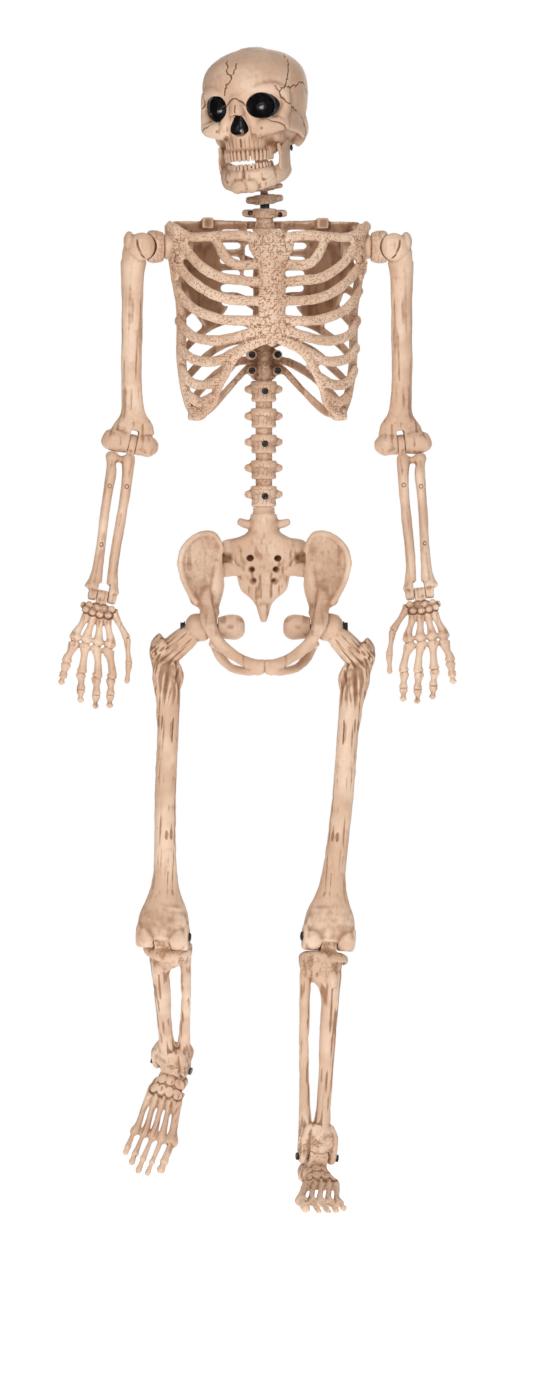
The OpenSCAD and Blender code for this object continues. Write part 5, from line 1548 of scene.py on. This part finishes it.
# Each finger: x at the knuckle, the middle joint and the tip, and its length
FINGERS = [(-22, -33, -38, 141), (-6, -14, -20, 146), (9, 7, 1, 142), (24, 29, 30, 124)]
hand_parts = [
    tube([(-22, 0, -17, 5, 6), (-14, 0, -18, 7.5, 7.6), (0, 0, -18, 7.8, 8.6), (14, 0, -18, 7.5, 7.6),
          (23, 0, -17, 5, 6)], ref=Y),
    lathe_x([(-7, 7), (-6.2, 7.8), (6.2, 7.8), (7, 7)], 40),
    block((0, 0, -7), (13.6, 10.6, 13)),
]
CARPALS = [(-15, -15), (-5, -17), (5, -17), (15, -15), (-12, -24), (-1, -25), (9, -24), (18, -22)]
for x, z in CARPALS:
    hand_parts.append(blob((x, -1.4, z), (5.8, 8.2, 5)))
for knuckle, middle, tip, length in FINGERS:
    def at(t):
        return middle + (tip - middle) * t

    root = 0.62 * knuckle + 1
    end = -length
    joints = [-66, -66 + 0.5 * (end + 66), -66 + 0.78 * (end + 66)]
    hand_parts += [
        bony([(root, 0, -24, 5, 5), (root, -1, -31, 5.4, 5.2), ((root + knuckle) / 2, -1, -43, 3.7, 3.9),
              (knuckle, 0, -54, 5.2, 5), (knuckle, 0, -60.5, 7.4, 6.4), (knuckle, 0, -64, 5.4, 5.2)]),
        bony([(knuckle, 1, -66.4, 4.4, 4.2), (knuckle, 1, -69.5, 7, 6),
              ((knuckle + middle) / 2, 2, joints[0] - 15, 4.2, 4.2), (middle, 3, joints[1] + 7, 4.8, 4.6),
              (middle, 4, joints[1] + 2, 6.2, 5.6)]),
        bony([(middle, 4, joints[1] - 0.5, 4, 4), (middle, 4.6, joints[1] - 3.5, 5.8, 5.2),
              (at(0.35), 6, joints[1] - 12, 3.5, 3.5), (at(0.6), 7, joints[2] + 1.4, 5.2, 4.8)]),
        bony([(at(0.62), 7, joints[2] - 0.5, 3.4, 3.4), (at(0.66), 7.4, joints[2] - 2.6, 5, 4.6),
              (at(0.85), 8.6, end + 7, 2.6, 2.7), (tip, 9.6, end + 2.6, 4.3, 3.6),
              (tip, 10, end + 0.8, 2.4, 2.2)]),
    ]
thumb = [(-18, -1, -18), (-42, -8, -49), (-51, -10, -83), (-53, -9, -108)]
for k, (a, b) in enumerate(zip(thumb[:-1], thumb[1:])):
    a, b = np.array(a, float), np.array(b, float)
    rows = [(0.03, 4.4), (0.1, 5.6), (0.5, 3.7), (0.86, 4.8), (0.96, 5.4 if k < 2 else 3.2)]
    hand_parts.append(tube([(*(a + (b - a) * t), r * (1 - 0.12 * k), r * (1 - 0.12 * k)) for t, r in rows],
                           n=16))


def sculpt_hand(v, n):
    v, w = fibres(v, n, 0.5, 3, 18, 0.45, 37)
    crease = 0.45 * smoothstep(-10, -16, v[:, 2]) * smoothstep(-38, -30, v[:, 2])
    v, w2 = seams(v, n, v[:, 0], v[:, 2] * 1.1, [(x, z * 1.1) for x, z in CARPALS], (4.6, 5.6), v[:, 2] < -9)
    tips = 0.35 * smoothstep(-100, -140, v[:, 2])
    return v, w + 0.5 * crease + w2 + tips, np.zeros(len(v))


CUP_SEAT = [lathe_x([(-30, 14), (-29, 19), (-22, 21.4), (-13, 21.6), (-9, 20.4), (-8, 18)], 48),
            block((-8, 0, 0), (26, 13.6, 22)), tube([(0, -6.8, 0, 10.6, 10.6), (0, 6.8, 0, 10.6, 10.6)],
                                                    ref=X, n=32)]


def seat_cuts():
    """The round hollow that the head of the upper arm turns in, on both sides of the tongue."""
    out = []
    for e in (1, -1):
        out.append(tube([(0, e * 7.1, 0, 19, 19), (0, e * 16, 0, 19, 19), (0, e * 30, 0, 19, 19)], ref=X,
                        n=40, sub=2))
    return out


for side, place in SIDES.items():
    bone(f"shoulder_cup_{side}", CUP_SEAT, place["shoulder"], f"shoulder_{side}", (f"shoulder_head_{side}",),
         voxel=0.9, smooth=2, cuts=seat_cuts(), sculpt=sculpt_neck, lumps=0.3)
    carry = math.radians({"right": 9.2, "left": 3.4}[side])
    m = np.array([[math.cos(carry), 0, -math.sin(carry)], [0, 1, 0], [math.sin(carry), 0, math.cos(carry)]])
    low = np.array([0, 0, -259])
    lower = [moved(moved(tube(elbow_block, ref=Z, n=24), to=m), low),
             moved(moved(lathe_x([(-26, 11), (-24, 13.4), (29, 13.4), (31, 11)], 40), to=m), low)]
    cuts = [block((0, 0, 6), (60, 14.2, 50)), moved(moved(block((0, 0, -4), (10.4, 60, 44)), to=m), low)]
    bone(f"humerus_{side}_bone", [shoulder_ball()] + humerus_parts + lower, place["arm"], f"arm_{side}",
         (f"humerus_{side}",), voxel=1.2, smooth=3, cuts=cuts, sculpt=sculpt_humerus, lumps=0.5)
    bone(f"forearm_{side}_bone", forearm_parts, place["forearm"], f"forearm_{side}", (f"forearm_{side}",),
         voxel=1.0, smooth=3, cuts=[block((0, 0, -203), (14.6, 40, 27))], sculpt=sculpt_forearm, lumps=0.4)
    bone(f"hand_{side}_bone", hand_parts, place["hand"], f"hand_{side}", (f"hand_{side}",), voxel=0.8,
         smooth=1, sculpt=sculpt_hand, lumps=0.25)


# ---------------------------------------------------------------- plain CAD parts kept as they are
for name, o in frame["nodes"].items():
    if o.hide_render:
        continue
    metal = any(k in name for k in ("pin", "bolt", "link", "screw", "spring"))
    o.data.materials.clear()
    o.data.materials.append(metal_material if metal else bone_material)
    for attribute in ("wash_and_shade", "ink", "pit"):
        if attribute not in o.data.attributes:
            o.data.attributes.new(attribute, "FLOAT", "POINT")
    soft = o.modifiers.new("soft_edge", "BEVEL")
    soft.width = 0.5 * MM
    soft.segments = 3
    soft.limit_method = "ANGLE"


# ---------------------------------------------------------------- floor, light and camera
def stage_material():
    m = Nodes("pale_floor")
    m.coords = m.add("ShaderNodeTexCoord").outputs["Object"]
    m.link(m.mix(m.ramp(m.noise(3, 3), 0.3, 0.7), (0.86, 0.86, 0.86), (0.9, 0.9, 0.9)),
           m.shader.inputs["Base Color"])
    m.shader.inputs["Roughness"].default_value = 0.9
    m.shader.inputs["Emission Color"].default_value = (1, 1, 1, 1)
    m.shader.inputs["Emission Strength"].default_value = 0.8
    return m.material


LOWEST = TRUNK.out(np.array([[0, 0, -4.0]]))[0][2]
TOP = TRUNK.out(np.array([[0, 0, 1524.0]]))[0][2]
bm = bmesh.new()
bmesh.ops.create_circle(bm, cap_ends=True, segments=96, radius=3.4)
floor_mesh = bpy.data.meshes.new("floor")
bm.to_mesh(floor_mesh)
bm.free()
floor_mesh.materials.append(stage_material())
floor = bpy.data.objects.new("floor", floor_mesh)
floor.location = (0, 0, LOWEST)
bpy.context.scene.collection.objects.link(floor)
floor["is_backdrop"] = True


def lamp(name, place, aim, size, watts, colour=(1, 1, 1)):
    """A square soft lamp at place, turned to aim."""
    data = bpy.data.lights.new(name, "AREA")
    data.size = size
    data.energy = watts
    data.color = colour
    o = bpy.data.objects.new(name, data)
    o.location = place
    o.rotation_euler = (Vector(aim) - Vector(place)).to_track_quat("-Z", "Y").to_euler()
    bpy.context.scene.collection.objects.link(o)


CENTRE = Vector((0, -0.05, (LOWEST + TOP) / 2))
lamp("key", (-0.9, -3.2, 0.9), CENTRE, 1.3, 64, (1, 0.98, 0.97))
lamp("fill", (1.9, -2.8, 0.2), CENTRE, 1.8, 12, (0.97, 0.98, 1))
lamp("top", (0.2, -0.6, 2.6), CENTRE, 2.0, 16)
lamp("rear", (0.7, 3.0, 0.7), CENTRE, 2.4, 34)
world = bpy.data.worlds.new("studio")
bpy.context.scene.world = world
world.use_nodes = True
tree = world.node_tree
soft = tree.nodes["Background"]
soft.inputs["Color"].default_value = (1, 1, 1, 1)
soft.inputs["Strength"].default_value = 0.26
backing = tree.nodes.new("ShaderNodeBackground")
backing.inputs["Color"].default_value = (1, 1, 1, 1)
seen = tree.nodes.new("ShaderNodeLightPath")
both_ways = tree.nodes.new("ShaderNodeMixShader")
tree.links.new(seen.outputs["Is Camera Ray"], both_ways.inputs[0])
tree.links.new(soft.outputs[0], both_ways.inputs[1])
tree.links.new(backing.outputs[0], both_ways.inputs[2])
tree.links.new(both_ways.outputs[0], tree.nodes["World Output"].inputs["Surface"])
bpy.context.scene.view_settings.view_transform = "Standard"

VIEW_AZIMUTH = math.radians(-5)
DISTANCE = 30.0
camera_data = bpy.data.cameras.new("camera")
camera = bpy.data.objects.new("camera", camera_data)
bpy.context.scene.collection.objects.link(camera)
bpy.context.scene.camera = camera
camera_data.sensor_fit = "VERTICAL"
camera_data.sensor_height = 36
VIEW_HEIGHT = 1.8094
camera_data.lens = 36 * DISTANCE / VIEW_HEIGHT
aim = Vector((0.0034, -0.0620, -1.232 + 0.6826))
toward = Vector((math.sin(VIEW_AZIMUTH), -math.cos(VIEW_AZIMUTH), 0))
camera.location = aim + toward * DISTANCE
camera.rotation_euler = (-toward).to_track_quat("-Z", "Y").to_euler()
camera_data.clip_end = 60

low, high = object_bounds()
